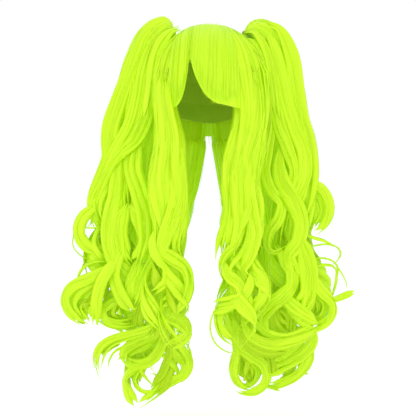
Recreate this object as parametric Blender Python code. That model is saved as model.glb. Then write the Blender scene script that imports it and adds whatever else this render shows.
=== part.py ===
"""A long pigtail wig: a thin fitted cap under crown hair, a parted fringe, two locks beside the face,
two falls of back hair and two clipped pigtails that arch up and hang in loose curls.

Metres, +Z up, the face looks along -Y. The origin is the inside of the cap at its very top, where it
sits on the head. +X is to the right as one looks at the face.
"""

import math

import bmesh
import bpy
import numpy as np
from mathutils import Vector

# The head that the cap fits
HEAD_HALF_WIDTH = 0.077
HEAD_HALF_DEPTH = 0.097
HEAD_DOME_HEIGHT = 0.105

# The cap, and the small gap that keeps each piece off its seat
CAP_WALL = 0.0015
SEAT_GAP = 0.0003

# The crown hair over the cap
CROWN_TOP_HAIR = 0.0090
CROWN_SIDE_HAIR = 0.0160
CROWN_BACK_HAIR = 0.0140
CROWN_DOME_HEIGHT = 0.092
CROWN_FLUTE_DEPTH = 0.0009

# The fringe that lies over the front of the crown
FRINGE_LENGTH = 0.150
FRINGE_THICKNESS = 0.0050
FRINGE_EDGE_THICKNESS = 0.0018
FRINGE_RIDGE_DEPTH = 0.0010

# The long hair
HAIR_DROP = 0.690
PIGTAIL_SPREAD = 0.090
PIGTAIL_RISE = 0.042
PIGTAIL_HALF_DEPTH = 0.034
FALL_HALF_WIDTH = 0.026
LOBE_DEPTH = 0.22
CURL_RADIUS = 0.026
CURL_HALF_WIDTH = 0.021
CURL_FLATNESS = 0.42
CURL_TAPER = 0.66

# The clip and the sewn pad that carry each pigtail
CLIP_LENGTH = 0.044
CLIP_WIDTH = 0.015
CLIP_HEIGHT = 0.0045
CLIP_TOOTH_HEIGHT = 0.0070
CLIP_TOOTH_THICKNESS = 0.0022
CLIP_TEETH_A_SIDE = 5
PAD_HALF_LENGTH = 0.027
PAD_HALF_WIDTH = 0.019
PAD_THICKNESS = 0.0050

# Where the pigtails sit on the crown, in degrees: round from the face, and down from the top
PIGTAIL_AZIMUTH = 102.0
PIGTAIL_POLAR = 47.0

PAD_PROFILE = (
    # size, height
    (0.90, 0.0),
    (1.00, 0.3),
    (1.00, 0.6),
    (0.86, 1.0),
)

# How finely each form is cut into flat faces
CROWN_SIDES = 32
CROWN_RINGS = 9
CAP_RINGS = 6
BODY_SIDES = 12
BODY_LOBES = 4
CURL_SIDES = 6
PAD_SIDES = 16
CURL_STEPS = 12

LIME = (0.57, 1.0, 0.02)
DEEP_LIME = (0.36, 0.66, 0.01)

# How far round the head the crown's cutter reaches where the crown itself stops higher, in degrees
ENVELOPE_POLAR = 130.0

# The cap's edge: round from the face, and down from the top, in degrees
CAP_EDGE = (
    # azimuth, polar
    (0, 59),
    (45, 66),
    (68, 94),
    (92, 110),
    (130, 120),
    (180, 124),
)

# The crown hair's edge, a little below the cap's, with its last stretch hanging straight down
CROWN_EDGE = (
    # azimuth, polar
    (0, 72.5),
    (45, 81),
    (68, 112),
    (92, 131),
    (125, 149),
    (180, 156),
)

# The fringe, from its inner edge at the part to its outer edge: places across as shares of the crown's
# half width, the top edge in degrees down from the crown's top, and the cut edge as a share of its length
WIDE_FRINGE = (
    # top_x, top_polar, cut_x, cut_drop
    (-0.27, 24, -0.350, 0.44),
    (-0.22, 23, -0.300, 0.58),
    (-0.14, 22, -0.225, 0.71),
    (-0.04, 22, -0.120, 0.84),
    (0.07, 23, 0.000, 0.93),
    (0.18, 25, 0.140, 0.985),
    (0.29, 29, 0.290, 1.005),
    (0.40, 34, 0.430, 1.025),
    (0.50, 40, 0.580, 1.045),
)
NARROW_FRINGE = (
    # top_x, top_polar, cut_x, cut_drop
    (-0.29, 25, -0.362, 0.44),
    (-0.34, 27, -0.395, 0.62),
    (-0.39, 30, -0.450, 0.82),
    (-0.45, 34, -0.520, 0.95),
    (-0.52, 40, -0.620, 1.02),
    (-0.60, 47, -0.720, 1.00),
    (-0.66, 53, -0.790, 0.95),
)

# A pigtail's sections from its root, over the arch and down, by the two edges that the front view shows.
# Out is a share of its spread from the root. Height is a share of its rise above the root, or, where it
# is negative, a share of the hair's drop below the root. Back is a share of the crown's half depth, and
# depth a share of the pigtail's half depth.
LEFT_PIGTAIL = (
    # inner_out, inner_height, outer_out, outer_height, back, depth
    (0.04, -0.033, -0.26, 0.33, 0.16, 0.76),
    (0.10, -0.041, -0.08, 0.83, 0.16, 0.78),
    (0.12, -0.051, 0.14, 1.00, 0.15, 0.80),
    (0.14, -0.062, 0.41, 0.81, 0.14, 0.82),
    (0.14, -0.075, 0.63, 0.38, 0.12, 0.86),
    (0.12, -0.091, 0.79, -0.012, 0.10, 0.90),
    (0.10, -0.112, 0.94, -0.062, 0.08, 0.92),
    (0.10, -0.139, 1.06, -0.120, 0.06, 0.98),
    (0.12, -0.179, 1.19, -0.184, 0.05, 1.02),
    (0.17, -0.237, 1.24, -0.248, 0.04, 1.04),
    (0.25, -0.309, 1.28, -0.322, 0.04, 1.04),
    (0.30, -0.388, 1.40, -0.393, 0.04, 1.04),
    (0.40, -0.468, 1.45, -0.466, 0.04, 1.02),
    (0.48, -0.548, 1.36, -0.548, 0.04, 0.96),
    (0.60, -0.619, 1.24, -0.619, 0.04, 0.80),
    (0.74, -0.680, 1.10, -0.680, 0.04, 0.45),
)
RIGHT_PIGTAIL = (
    # inner_out, inner_height, outer_out, outer_height, back, depth
    (0.04, -0.033, -0.26, 0.33, 0.16, 0.76),
    (0.10, -0.041, -0.04, 0.72, 0.16, 0.78),
    (0.14, -0.051, 0.23, 0.85, 0.15, 0.80),
    (0.16, -0.062, 0.45, 0.72, 0.14, 0.82),
    (0.16, -0.075, 0.63, 0.33, 0.12, 0.86),
    (0.15, -0.094, 0.77, -0.014, 0.10, 0.90),
    (0.16, -0.118, 0.88, -0.062, 0.08, 0.92),
    (0.18, -0.150, 0.98, -0.126, 0.06, 0.98),
    (0.22, -0.189, 1.08, -0.189, 0.05, 1.02),
    (0.24, -0.242, 1.24, -0.248, 0.04, 1.04),
    (0.25, -0.317, 1.30, -0.317, 0.04, 1.04),
    (0.24, -0.396, 1.36, -0.400, 0.04, 1.04),
    (0.32, -0.475, 1.40, -0.475, 0.04, 1.02),
    (0.38, -0.554, 1.28, -0.554, 0.04, 0.96),
    (0.50, -0.627, 1.16, -0.627, 0.04, 0.80),
    (0.66, -0.683, 1.04, -0.683, 0.04, 0.45),
)

# The other long hair, top to bottom: across, back and drop as shares of the crown's half width, its half
# depth and the hair's drop, and half width and half depth as shares of a fall's half width
LEFT_FACE_LOCK = (
    # across, back, drop, half_width, half_depth
    (-0.70, -0.40, 0.045, 0.40, 0.34),
    (-0.82, -0.42, 0.090, 0.54, 0.46),
    (-0.86, -0.50, 0.145, 0.58, 0.60),
    (-0.86, -0.58, 0.197, 0.62, 0.76),
    (-0.81, -0.64, 0.250, 0.74, 0.86),
    (-0.76, -0.68, 0.304, 1.00, 0.92),
    (-0.75, -0.70, 0.357, 1.12, 0.96),
    (-0.77, -0.71, 0.423, 1.24, 0.98),
    (-0.78, -0.71, 0.489, 1.26, 0.98),
    (-0.78, -0.71, 0.555, 1.22, 0.94),
    (-0.76, -0.71, 0.615, 0.92, 0.80),
    (-0.74, -0.71, 0.665, 0.50, 0.50),
)
RIGHT_FACE_LOCK = (
    # across, back, drop, half_width, half_depth
    (0.74, -0.40, 0.045, 0.56, 0.34),
    (0.76, -0.42, 0.090, 0.96, 0.46),
    (0.79, -0.50, 0.145, 1.16, 0.62),
    (0.81, -0.58, 0.197, 1.20, 0.78),
    (0.80, -0.64, 0.250, 1.18, 0.88),
    (0.73, -0.68, 0.304, 1.20, 0.94),
    (0.66, -0.70, 0.357, 1.30, 0.98),
    (0.62, -0.71, 0.423, 1.32, 0.98),
    (0.62, -0.71, 0.489, 1.38, 0.98),
    (0.59, -0.71, 0.555, 1.40, 0.94),
    (0.56, -0.71, 0.615, 1.10, 0.80),
    (0.54, -0.71, 0.665, 0.60, 0.50),
)
LEFT_BACK_HAIR = (
    # across, back, drop, half_width, half_depth
    (-0.46, 0.86, 0.130, 1.56, 0.36),
    (-0.47, 0.92, 0.200, 1.66, 0.72),
    (-0.51, 0.90, 0.270, 1.72, 0.90),
    (-0.58, 0.84, 0.340, 1.68, 1.02),
    (-0.68, 0.78, 0.420, 1.64, 1.10),
    (-0.80, 0.73, 0.500, 1.64, 1.14),
    (-0.88, 0.70, 0.580, 1.56, 1.10),
    (-0.92, 0.68, 0.660, 1.28, 0.96),
    (-0.94, 0.67, 0.730, 0.70, 0.60),
)
RIGHT_BACK_HAIR = (
    # across, back, drop, half_width, half_depth
    (0.46, 0.86, 0.130, 1.56, 0.36),
    (0.47, 0.92, 0.200, 1.66, 0.72),
    (0.51, 0.90, 0.270, 1.72, 0.90),
    (0.59, 0.84, 0.340, 1.68, 1.02),
    (0.68, 0.78, 0.420, 1.66, 1.10),
    (0.78, 0.73, 0.500, 1.66, 1.14),
    (0.84, 0.70, 0.580, 1.60, 1.10),
    (0.86, 0.68, 0.660, 1.32, 0.96),
    (0.86, 0.67, 0.730, 0.74, 0.60),
)

# The curls that end each fall. Start and end are places across and down, as shares of the crown's half
# width and the hair's drop. Back is a share of the crown's half depth. Swing is a share of the curl
# radius, turns and phase (degrees) set the wave, lift turns the wave from round to a loop in the front
# view, and width is a share of a curl's half width.
LEFT_PIGTAIL_CURLS = (
    # start_x, start_drop, end_x, end_drop, back, swing, turns, phase, lift, width
    (-2.00, 0.390, -2.26, 0.575, 0.02, 0.75, 1.15, 120, 0.85, 0.65),
    (-1.95, 0.470, -2.52, 0.755, -0.02, 1.05, 1.20, 70, 0.45, 1.15),
    (-1.80, 0.490, -2.16, 0.800, 0.10, 1.00, 1.40, 210, 0.30, 1.10),
    (-1.65, 0.500, -1.78, 0.810, -0.06, 1.00, 1.50, 20, 0.20, 1.10),
    (-1.45, 0.490, -1.42, 0.790, 0.10, 0.95, 1.70, 160, 0.15, 1.05),
)
RIGHT_PIGTAIL_CURLS = (
    # start_x, start_drop, end_x, end_drop, back, swing, turns, phase, lift, width
    (1.95, 0.350, 2.28, 0.555, 0.02, 0.85, 1.10, 60, 0.80, 0.85),
    (1.95, 0.450, 2.42, 0.650, 0.12, 0.90, 1.15, 300, 0.80, 0.50),
    (1.85, 0.470, 2.64, 0.720, -0.06, 0.80, 1.00, 40, 0.45, 0.65),
    (1.80, 0.490, 2.12, 0.795, 0.04, 1.15, 1.40, 20, 0.30, 1.15),
    (1.60, 0.500, 1.80, 0.830, -0.06, 1.00, 1.50, 190, 0.20, 1.10),
    (1.40, 0.490, 1.38, 0.810, 0.10, 0.95, 1.70, 300, 0.15, 1.05),
)
LEFT_FACE_CURLS = (
    # start_x, start_drop, end_x, end_drop, back, swing, turns, phase, lift, width
    (-0.66, 0.500, -0.62, 0.785, -0.71, 0.90, 1.30, 330, 0.20, 1.05),
    (-0.80, 0.520, -0.66, 0.880, -0.74, 0.85, 1.60, 120, 0.20, 0.95),
    (-0.88, 0.520, -1.12, 0.830, -0.70, 0.85, 1.50, 220, 0.20, 0.95),
)
RIGHT_FACE_CURLS = (
    # start_x, start_drop, end_x, end_drop, back, swing, turns, phase, lift, width
    (0.50, 0.500, 0.32, 0.770, -0.71, 0.90, 1.10, 150, 0.25, 1.05),
    (0.62, 0.520, 0.64, 0.880, -0.74, 0.85, 1.60, 300, 0.20, 0.95),
    (0.76, 0.520, 1.02, 0.840, -0.70, 0.85, 1.50, 40, 0.20, 0.95),
)
LEFT_BACK_CURLS = (
    # start_x, start_drop, end_x, end_drop, back, swing, turns, phase, lift, width
    (-0.92, 0.560, -1.22, 1.005, 0.68, 1.10, 1.90, 40, 0.30, 1.10),
    (-0.62, 0.540, -0.60, 0.945, 0.72, 0.95, 1.70, 180, 0.25, 1.05),
    (-1.15, 0.550, -1.80, 0.900, 0.70, 0.95, 1.40, 260, 0.30, 1.00),
    (-1.00, 0.560, -0.92, 0.930, 0.80, 0.90, 1.60, 320, 0.20, 1.05),
)
RIGHT_BACK_CURLS = (
    # start_x, start_drop, end_x, end_drop, back, swing, turns, phase, lift, width
    (0.62, 0.550, 0.56, 0.955, 0.70, 1.00, 1.70, 200, 0.30, 1.10),
    (0.90, 0.560, 0.92, 0.975, 0.74, 1.05, 1.70, 20, 0.30, 1.10),
    (1.12, 0.550, 1.56, 0.950, 0.70, 1.00, 1.60, 120, 0.30, 1.10),
    (0.90, 0.560, 1.24, 0.900, 0.80, 0.90, 1.60, 280, 0.20, 1.05),
)


# Smooth shapes from short tables


def spread(table, column, share):
    """Reads a column of a table at a share from 0 to 1 along its rows, on a smooth curve through them."""
    values = [row[column] for row in table]
    place = share * (len(values) - 1)
    first = min(int(place), len(values) - 2)
    t = place - first
    before = values[max(first - 1, 0)]
    here, there = values[first], values[first + 1]
    after = values[min(first + 2, len(values) - 1)]
    return 0.5 * (
        2 * here
        + (there - before) * t
        + (2 * before - 5 * here + 4 * there - after) * t * t
        + (3 * here - before - 3 * there + after) * t * t * t
    )


def edge_polar(table, azimuth):
    """The polar angle of an edge at an azimuth, the same on both sides of the head."""
    around = abs((azimuth + 180.0) % 360.0 - 180.0)
    places = [row[0] for row in table]
    index = max(i for i, place in enumerate(places[:-1]) if place <= around)
    share = (around - places[index]) / (places[index + 1] - places[index])
    eased = share * share * (3 - 2 * share)
    return table[index][1] + (table[index + 1][1] - table[index][1]) * eased


def eased(low, high, value):
    """0 below low, 1 above high, and a smooth step between."""
    share = min(max((value - low) / (high - low), 0.0), 1.0)
    return share * share * (3 - 2 * share)


# Domes: half an ellipsoid, with its lower part either closing in like a head or hanging straight


class Dome:
    def __init__(self, half_width, half_depth, height, top, closes_in):
        self.half_width = half_width
        self.half_depth = half_depth
        self.height = height
        self.top = top
        self.closes_in = closes_in

    def point(self, azimuth, polar):
        around, down = math.radians(azimuth), math.radians(polar)
        if polar <= 90 or self.closes_in:
            ring, drop = math.sin(down), 1 - math.cos(down)
        else:
            ring, drop = 1.0, 1 + down - math.pi / 2
        x = self.half_width * ring * math.sin(around)
        y = -self.half_depth * ring * math.cos(around)
        return Vector((x, y, self.top - self.height * drop))

    def normal(self, azimuth, polar):
        around, down = math.radians(azimuth), math.radians(min(polar, 90))
        x = math.sin(down) * math.sin(around) / self.half_width
        y = -math.sin(down) * math.cos(around) / self.half_depth
        return Vector((x, y, math.cos(down) / self.height)).normalized()

    def polar_at(self, z):
        drop = (self.top - z) / self.height
        if drop <= 1:
            return math.degrees(math.acos(1 - drop))
        return 90 + math.degrees(drop - 1)

    def grown(self, by):
        return Dome(
            self.half_width + by,
            self.half_depth + by,
            self.height + by,
            self.top + by,
            self.closes_in,
        )


HEAD = Dome(HEAD_HALF_WIDTH, HEAD_HALF_DEPTH, HEAD_DOME_HEIGHT, 0.0, True)
CAP_OUTSIDE = HEAD.grown(CAP_WALL)
CROWN_INSIDE = CAP_OUTSIDE.grown(SEAT_GAP)
CROWN_INSIDE.closes_in = False
CROWN_OUTSIDE = Dome(
    CROWN_INSIDE.half_width + CROWN_SIDE_HAIR,
    CROWN_INSIDE.half_depth + CROWN_BACK_HAIR,
    CROWN_DOME_HEIGHT,
    CROWN_INSIDE.top + CROWN_TOP_HAIR,
    False,
)
ENVELOPE = CROWN_OUTSIDE.grown(SEAT_GAP)


# Building meshes


def make_material(name, colour, roughness):
    material = bpy.data.materials.new(name)
    material.use_nodes = True
    shader = material.node_tree.nodes["Principled BSDF"]
    shader.inputs["Base Color"].default_value = (*colour, 1.0)
    shader.inputs["Roughness"].default_value = roughness
    shader.inputs["Metallic"].default_value = 0.0
    return material


def make_object(name, vertices, faces, material=None):
    mesh = bpy.data.meshes.new(name)
    mesh.from_pydata([tuple(v) for v in vertices], [], faces)
    mesh.validate()
    if material:
        mesh.materials.append(material)
        mesh.shade_smooth()
        mesh.set_sharp_from_angle(angle=math.radians(50))
    piece = bpy.data.objects.new(name, mesh)
    bpy.context.scene.collection.objects.link(piece)
    return piece


def make_helper(name, vertices, faces):
    piece = make_object(name, vertices, faces)
    piece.hide_render = True
    piece.display_type = "WIRE"
    return piece


def add_boolean(piece, other, operation, solver="EXACT"):
    modifier = piece.modifiers.new(f"{operation.lower()}_{other.name}", "BOOLEAN")
    modifier.operation = operation
    modifier.solver = solver
    modifier.object = other


def ring_faces(first, second, sides):
    """Quads between two rings of vertices that start at the given indices."""
    quads = []
    for i in range(sides):
        j = (i + 1) % sides
        quads.append((first + i, first + j, second + j, second + i))
    return quads


def tube_mesh(rings):
    """Vertices and faces of a closed tube through rings of points, with flat fans on its ends."""
    sides = len(rings[0])
    vertices = [point for ring in rings for point in ring]
    faces = []
    for k in range(len(rings) - 1):
        faces += ring_faces(k * sides, (k + 1) * sides, sides)
    last = (len(rings) - 1) * sides
    faces.append(tuple(reversed(range(sides))))
    faces.append(tuple(last + i for i in range(sides)))
    return vertices, faces


def face_outwards(piece):
    """Turns a closed mesh's faces outwards, and splits them into flat triangles for clean cuts."""
    shape = bmesh.new()
    shape.from_mesh(piece.data)
    bmesh.ops.triangulate(shape, faces=shape.faces)
    bmesh.ops.recalc_face_normals(shape, faces=shape.faces)
    if shape.calc_volume(signed=True) < 0:
        bmesh.ops.reverse_faces(shape, faces=shape.faces)
    shape.to_mesh(piece.data)
    shape.free()


def joined_faces(shape):
    """Groups of faces that meet along edges shared by just two of them."""
    groups, seen = [], set()
    for start in shape.faces:
        if start in seen:
            continue
        seen.add(start)
        group, waiting = [], [start]
        while waiting:
            face = waiting.pop()
            group.append(face)
            for edge in face.edges:
                if len(edge.link_faces) == 2:
                    for other in edge.link_faces:
                        if other not in seen:
                            seen.add(other)
                            waiting.append(other)
        groups.append(group)
    return groups


def keep_main_body(piece):
    """Bakes a piece's cuts, and fills any pocket of air that its crossing curls have closed off."""
    graph = bpy.context.evaluated_depsgraph_get()
    baked = bpy.data.meshes.new_from_object(piece.evaluated_get(graph))
    piece.modifiers.clear()
    shape = bmesh.new()
    shape.from_mesh(baked)
    bmesh.ops.triangulate(shape, faces=shape.faces)
    groups = joined_faces(shape)
    main = max(groups, key=len)
    pockets = [face for group in groups if group is not main for face in group]
    bmesh.ops.delete(shape, geom=pockets, context="FACES")
    shape.to_mesh(baked)
    shape.free()
    piece.data = baked
    baked.shade_smooth()
    baked.set_sharp_from_angle(angle=math.radians(50))


# The cap and the crown hair


def dome_rings(dome, edge, rings, flute=0.0):
    """Rings of points from just below a dome's top to an edge given per azimuth."""
    found = []
    for k in range(1, rings + 1):
        share = k / rings
        ring = []
        for i in range(CROWN_SIDES):
            azimuth = 360.0 * i / CROWN_SIDES
            polar = edge(azimuth) * share
            inset = flute * (i % 2) * eased(0.2, 0.5, share)
            point = dome.point(azimuth, polar) - dome.normal(azimuth, polar) * inset
            ring.append(point)
        found.append(ring)
    return found


def dome_shell(name, outer_top, outer, inner_top, inner, material):
    """A closed shell between two sets of rings that share their azimuths, open below."""
    vertices = [outer_top] + [p for ring in outer for p in ring]
    start_inside = len(vertices)
    vertices += [inner_top] + [p for ring in inner for p in ring]
    faces = []
    for start, rings in ((0, outer), (start_inside, inner)):
        first = start + 1
        for i in range(CROWN_SIDES):
            faces.append((start, first + i, first + (i + 1) % CROWN_SIDES))
        for k in range(len(rings) - 1):
            upper = first + k * CROWN_SIDES
            faces += ring_faces(upper, upper + CROWN_SIDES, CROWN_SIDES)
    outer_rim = 1 + (len(outer) - 1) * CROWN_SIDES
    inner_rim = start_inside + 1 + (len(inner) - 1) * CROWN_SIDES
    faces += ring_faces(outer_rim, inner_rim, CROWN_SIDES)
    piece = make_object(name, vertices, faces, material)
    face_outwards(piece)
    return piece


def crown_edge(azimuth):
    return edge_polar(CROWN_EDGE, azimuth)


def crown_rim_inside(azimuth):
    """The inside dome's polar angle at the height of the crown hair's edge."""
    rim = CROWN_OUTSIDE.point(azimuth, crown_edge(azimuth))
    return CROWN_INSIDE.polar_at(rim.z)


def cap_edge(azimuth):
    return edge_polar(CAP_EDGE, azimuth)


def make_cap(material):
    outer = dome_rings(CAP_OUTSIDE, cap_edge, CAP_RINGS)
    inner = dome_rings(HEAD, cap_edge, CAP_RINGS)
    top, bottom = CAP_OUTSIDE.point(0, 0), HEAD.point(0, 0)
    return dome_shell("wig_cap", top, outer, bottom, inner, material)


def make_crown(material):
    """The crown hair. Its inside runs beside the cap's faces, and then on down to its own edge."""
    outer = dome_rings(CROWN_OUTSIDE, crown_edge, CROWN_RINGS, CROWN_FLUTE_DEPTH)
    inner = dome_rings(CROWN_INSIDE, cap_edge, CAP_RINGS)
    inner += dome_rings(CROWN_INSIDE, crown_rim_inside, 1)
    top, bottom = CROWN_OUTSIDE.point(0, 0), CROWN_INSIDE.point(0, 0)
    return dome_shell("crown_hair", top, outer, bottom, inner, material)


def make_envelope():
    """The space that the crown hair fills, grown by the seat gap. It cuts whatever lies on the crown.

    Its faces run beside the crown's own, and then go on below the crown's edge.
    """
    rings = dome_rings(ENVELOPE, crown_edge, CROWN_RINGS)
    for step in range(1, 4):

        def lower_edge(azimuth):
            edge = crown_edge(azimuth)
            return edge + (max(ENVELOPE_POLAR, edge + 5) - edge) * step / 3

        rings.append(dome_rings(ENVELOPE, lower_edge, 1)[0])
    vertices = [ENVELOPE.point(0, 0)] + [p for ring in rings for p in ring]
    faces = [(0, 1 + i, 1 + (i + 1) % CROWN_SIDES) for i in range(CROWN_SIDES)]
    for k in range(len(rings) - 1):
        upper = 1 + k * CROWN_SIDES
        faces += ring_faces(upper, upper + CROWN_SIDES, CROWN_SIDES)
    last = 1 + (len(rings) - 1) * CROWN_SIDES
    centre = len(vertices)
    vertices.append(Vector((0, 0, min(p.z for p in rings[-1]))))
    faces += [(centre, last + i, last + (i + 1) % CROWN_SIDES) for i in range(CROWN_SIDES)]
    cutter = make_helper("crown_envelope", vertices, faces)
    face_outwards(cutter)
    return cutter


# The fringe


def fringe_point(table, across, down, height):
    """A point on the fringe: across the table, down its length, and at a height off the crown."""
    top_x = spread(table, 0, across) * CROWN_OUTSIDE.half_width
    top_polar = spread(table, 1, across)
    cut_x = spread(table, 2, across) * CROWN_OUTSIDE.half_width
    cut_z = CROWN_OUTSIDE.top - spread(table, 3, across) * FRINGE_LENGTH
    cut_polar = CROWN_OUTSIDE.polar_at(cut_z)
    polar = top_polar + (cut_polar - top_polar) * down
    x = top_x + (cut_x - top_x) * down
    ring = math.sin(math.radians(min(polar, 90))) * CROWN_OUTSIDE.half_width
    azimuth = math.degrees(math.asin(max(-1.0, min(1.0, x / ring))))
    return CROWN_OUTSIDE.point(azimuth, polar) + CROWN_OUTSIDE.normal(azimuth, polar) * height


def fringe_mesh(table, columns, rows, reach, low, thickness):
    """A thin curved sheet on the crown. Reach is how far it goes past the table's edges."""
    vertices, faces = [], []
    for i in range(columns + 1):
        across = -reach + (1 + 2 * reach) * i / columns
        for j in range(rows + 1):
            down = -reach + (1 + 2 * reach) * j / rows
            vertices.append(fringe_point(table, across, down, low))
            vertices.append(fringe_point(table, across, down, low + thickness(across, down, i)))

    def index(i, j, outside):
        return 2 * (i * (rows + 1) + j) + outside

    for i in range(columns):
        for j in range(rows):
            for side in (0, 1):
                face = (index(i, j, side), index(i + 1, j, side))
                faces.append(face + (index(i + 1, j + 1, side), index(i, j + 1, side)))
    for i in range(columns):
        for j in (0, rows):
            faces.append((index(i, j, 0), index(i + 1, j, 0), index(i + 1, j, 1), index(i, j, 1)))
    for j in range(rows):
        for i in (0, columns):
            faces.append((index(i, j, 0), index(i, j + 1, 0), index(i, j + 1, 1), index(i, j, 1)))
    return vertices, faces


def fringe_thickness(across, down, column):
    """Thickest in the middle, thin at the edges and ridged along the strands."""
    side = min(eased(0, 0.12, across), eased(0, 0.12, 1 - across))
    end = min(eased(0, 0.25, down), eased(-0.1, 0.5, 1 - down))
    body = FRINGE_THICKNESS - FRINGE_EDGE_THICKNESS - FRINGE_RIDGE_DEPTH * (column % 2)
    return FRINGE_EDGE_THICKNESS + body * side * end


def make_fringe(name, table, columns, rows, material):
    """One part of the fringe, and the slightly larger space that its neighbours keep out of."""
    sheet = fringe_mesh(table, columns, rows, 0.0, 4 * SEAT_GAP, fringe_thickness)
    piece = make_object(name, *sheet, material)
    face_outwards(piece)

    def room(across, down, column):
        return FRINGE_THICKNESS + 10 * SEAT_GAP

    space = make_helper(
        f"{name}_room", *fringe_mesh(table, columns, rows, 0.03, -5 * SEAT_GAP, room)
    )
    face_outwards(space)
    return space


# The long hair: a gathered body with curls growing out of it


def body_mesh(sections):
    """A closed body through sections of centre, wide and deep arms, with lobes like gathered locks."""
    rings = []
    last = len(sections) - 1
    for k, (centre, wide, deep) in enumerate(sections):
        share = k / last
        depth = LOBE_DEPTH * eased(0, 0.3, share)
        twist = math.radians(200) * share
        ring = []
        for i in range(BODY_SIDES):
            angle = 2 * math.pi * i / BODY_SIDES
            lobe = 1 + depth * math.cos(BODY_LOBES * angle + twist)
            offset = wide * (math.cos(angle) * lobe) + deep * (math.sin(angle) * lobe)
            ring.append(centre + offset)
        rings.append(ring)
    return tube_mesh(rings)


def curl_mesh(row):
    """A flat lock that swings round its own line more and more towards its tip."""
    start_x, start_drop, end_x, end_drop, back, swing, turns, phase, lift, width = row
    half_width = CURL_HALF_WIDTH * width
    points, radials = [], []
    for k in range(CURL_STEPS + 1):
        t = k / CURL_STEPS
        grown = eased(0.0, 0.6, t) * swing * CURL_RADIUS
        angle = math.radians(phase + 360 * turns * t)
        x = (start_x + (end_x - start_x) * t) * CROWN_OUTSIDE.half_width
        y = back * CROWN_OUTSIDE.half_depth
        z = CROWN_OUTSIDE.top - (start_drop + (end_drop - start_drop) * t) * HAIR_DROP
        radial = Vector((math.cos(angle), (1 - lift) * math.sin(angle), lift * math.sin(angle)))
        points.append(Vector((x, y, z)) + radial * grown)
        radials.append(radial)
    rings = []
    for k in range(CURL_STEPS + 1):
        t = k / CURL_STEPS
        along = (points[min(k + 1, CURL_STEPS)] - points[max(k - 1, 0)]).normalized()
        wide = along.cross(radials[k]).normalized()
        thin = wide.cross(along).normalized()
        size = half_width * (0.6 + 0.4 * eased(0, 0.35, t)) * (1 - CURL_TAPER * eased(0.6, 1.0, t))
        ring = []
        for i in range(CURL_SIDES):
            angle = 2 * math.pi * i / CURL_SIDES
            offset = wide * (math.cos(angle) * size)
            offset += thin * (math.sin(angle) * size * CURL_FLATNESS)
            ring.append(points[k] + offset)
        rings.append(ring)
    return tube_mesh(rings)


def make_hair(name, sections, curls, material, cutters):
    """A body of hair with its curls fused on, cut clear of what it lies on.

    Every shape here is closed, and the curls cross each other many times, which the manifold solver
    joins cleanly where the exact one drops parts.
    """
    body = make_object(name, *body_mesh(sections), material)
    face_outwards(body)
    for number, row in enumerate(curls):
        curl = make_helper(f"{name}_curl_{number + 1}", *curl_mesh(row))
        face_outwards(curl)
        add_boolean(body, curl, "UNION", "MANIFOLD")
    for cutter in cutters:
        add_boolean(body, cutter, "DIFFERENCE", "MANIFOLD")
    keep_main_body(body)
    return body


def fall_sections(table, count):
    """Sections square to a fall's own line, wide across the front view."""
    centres, sizes = [], []
    for k in range(count + 1):
        share = k / count
        x = spread(table, 0, share) * CROWN_OUTSIDE.half_width
        y = spread(table, 1, share) * CROWN_OUTSIDE.half_depth
        z = CROWN_OUTSIDE.top - spread(table, 2, share) * HAIR_DROP
        centres.append(Vector((x, y, z)))
        sizes.append((spread(table, 3, share), spread(table, 4, share)))
    sections = []
    for k, (centre, (width, depth)) in enumerate(zip(centres, sizes)):
        along = (centres[min(k + 1, count)] - centres[max(k - 1, 0)]).normalized()
        wide = along.cross(Vector((0, 1, 0))).normalized()
        deep = wide.cross(along).normalized()
        sections.append((centre, wide * width * FALL_HALF_WIDTH, deep * depth * FALL_HALF_WIDTH))
    return sections


# The pigtails, each on a sewn pad and a clip


def pigtail_seat(side):
    """The point on the crown under a pigtail, and the way out of the crown there."""
    azimuth = side * PIGTAIL_AZIMUTH
    point = ENVELOPE.point(azimuth, PIGTAIL_POLAR)
    return point, ENVELOPE.normal(azimuth, PIGTAIL_POLAR)


def seat_axes(side):
    """The pad's own axes: along the head, across it, and out of the crown."""
    point, out = pigtail_seat(side)
    across = Vector((0, 1, 0)).cross(out).normalized()
    along = out.cross(across).normalized()
    return point, along, across, out


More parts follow.
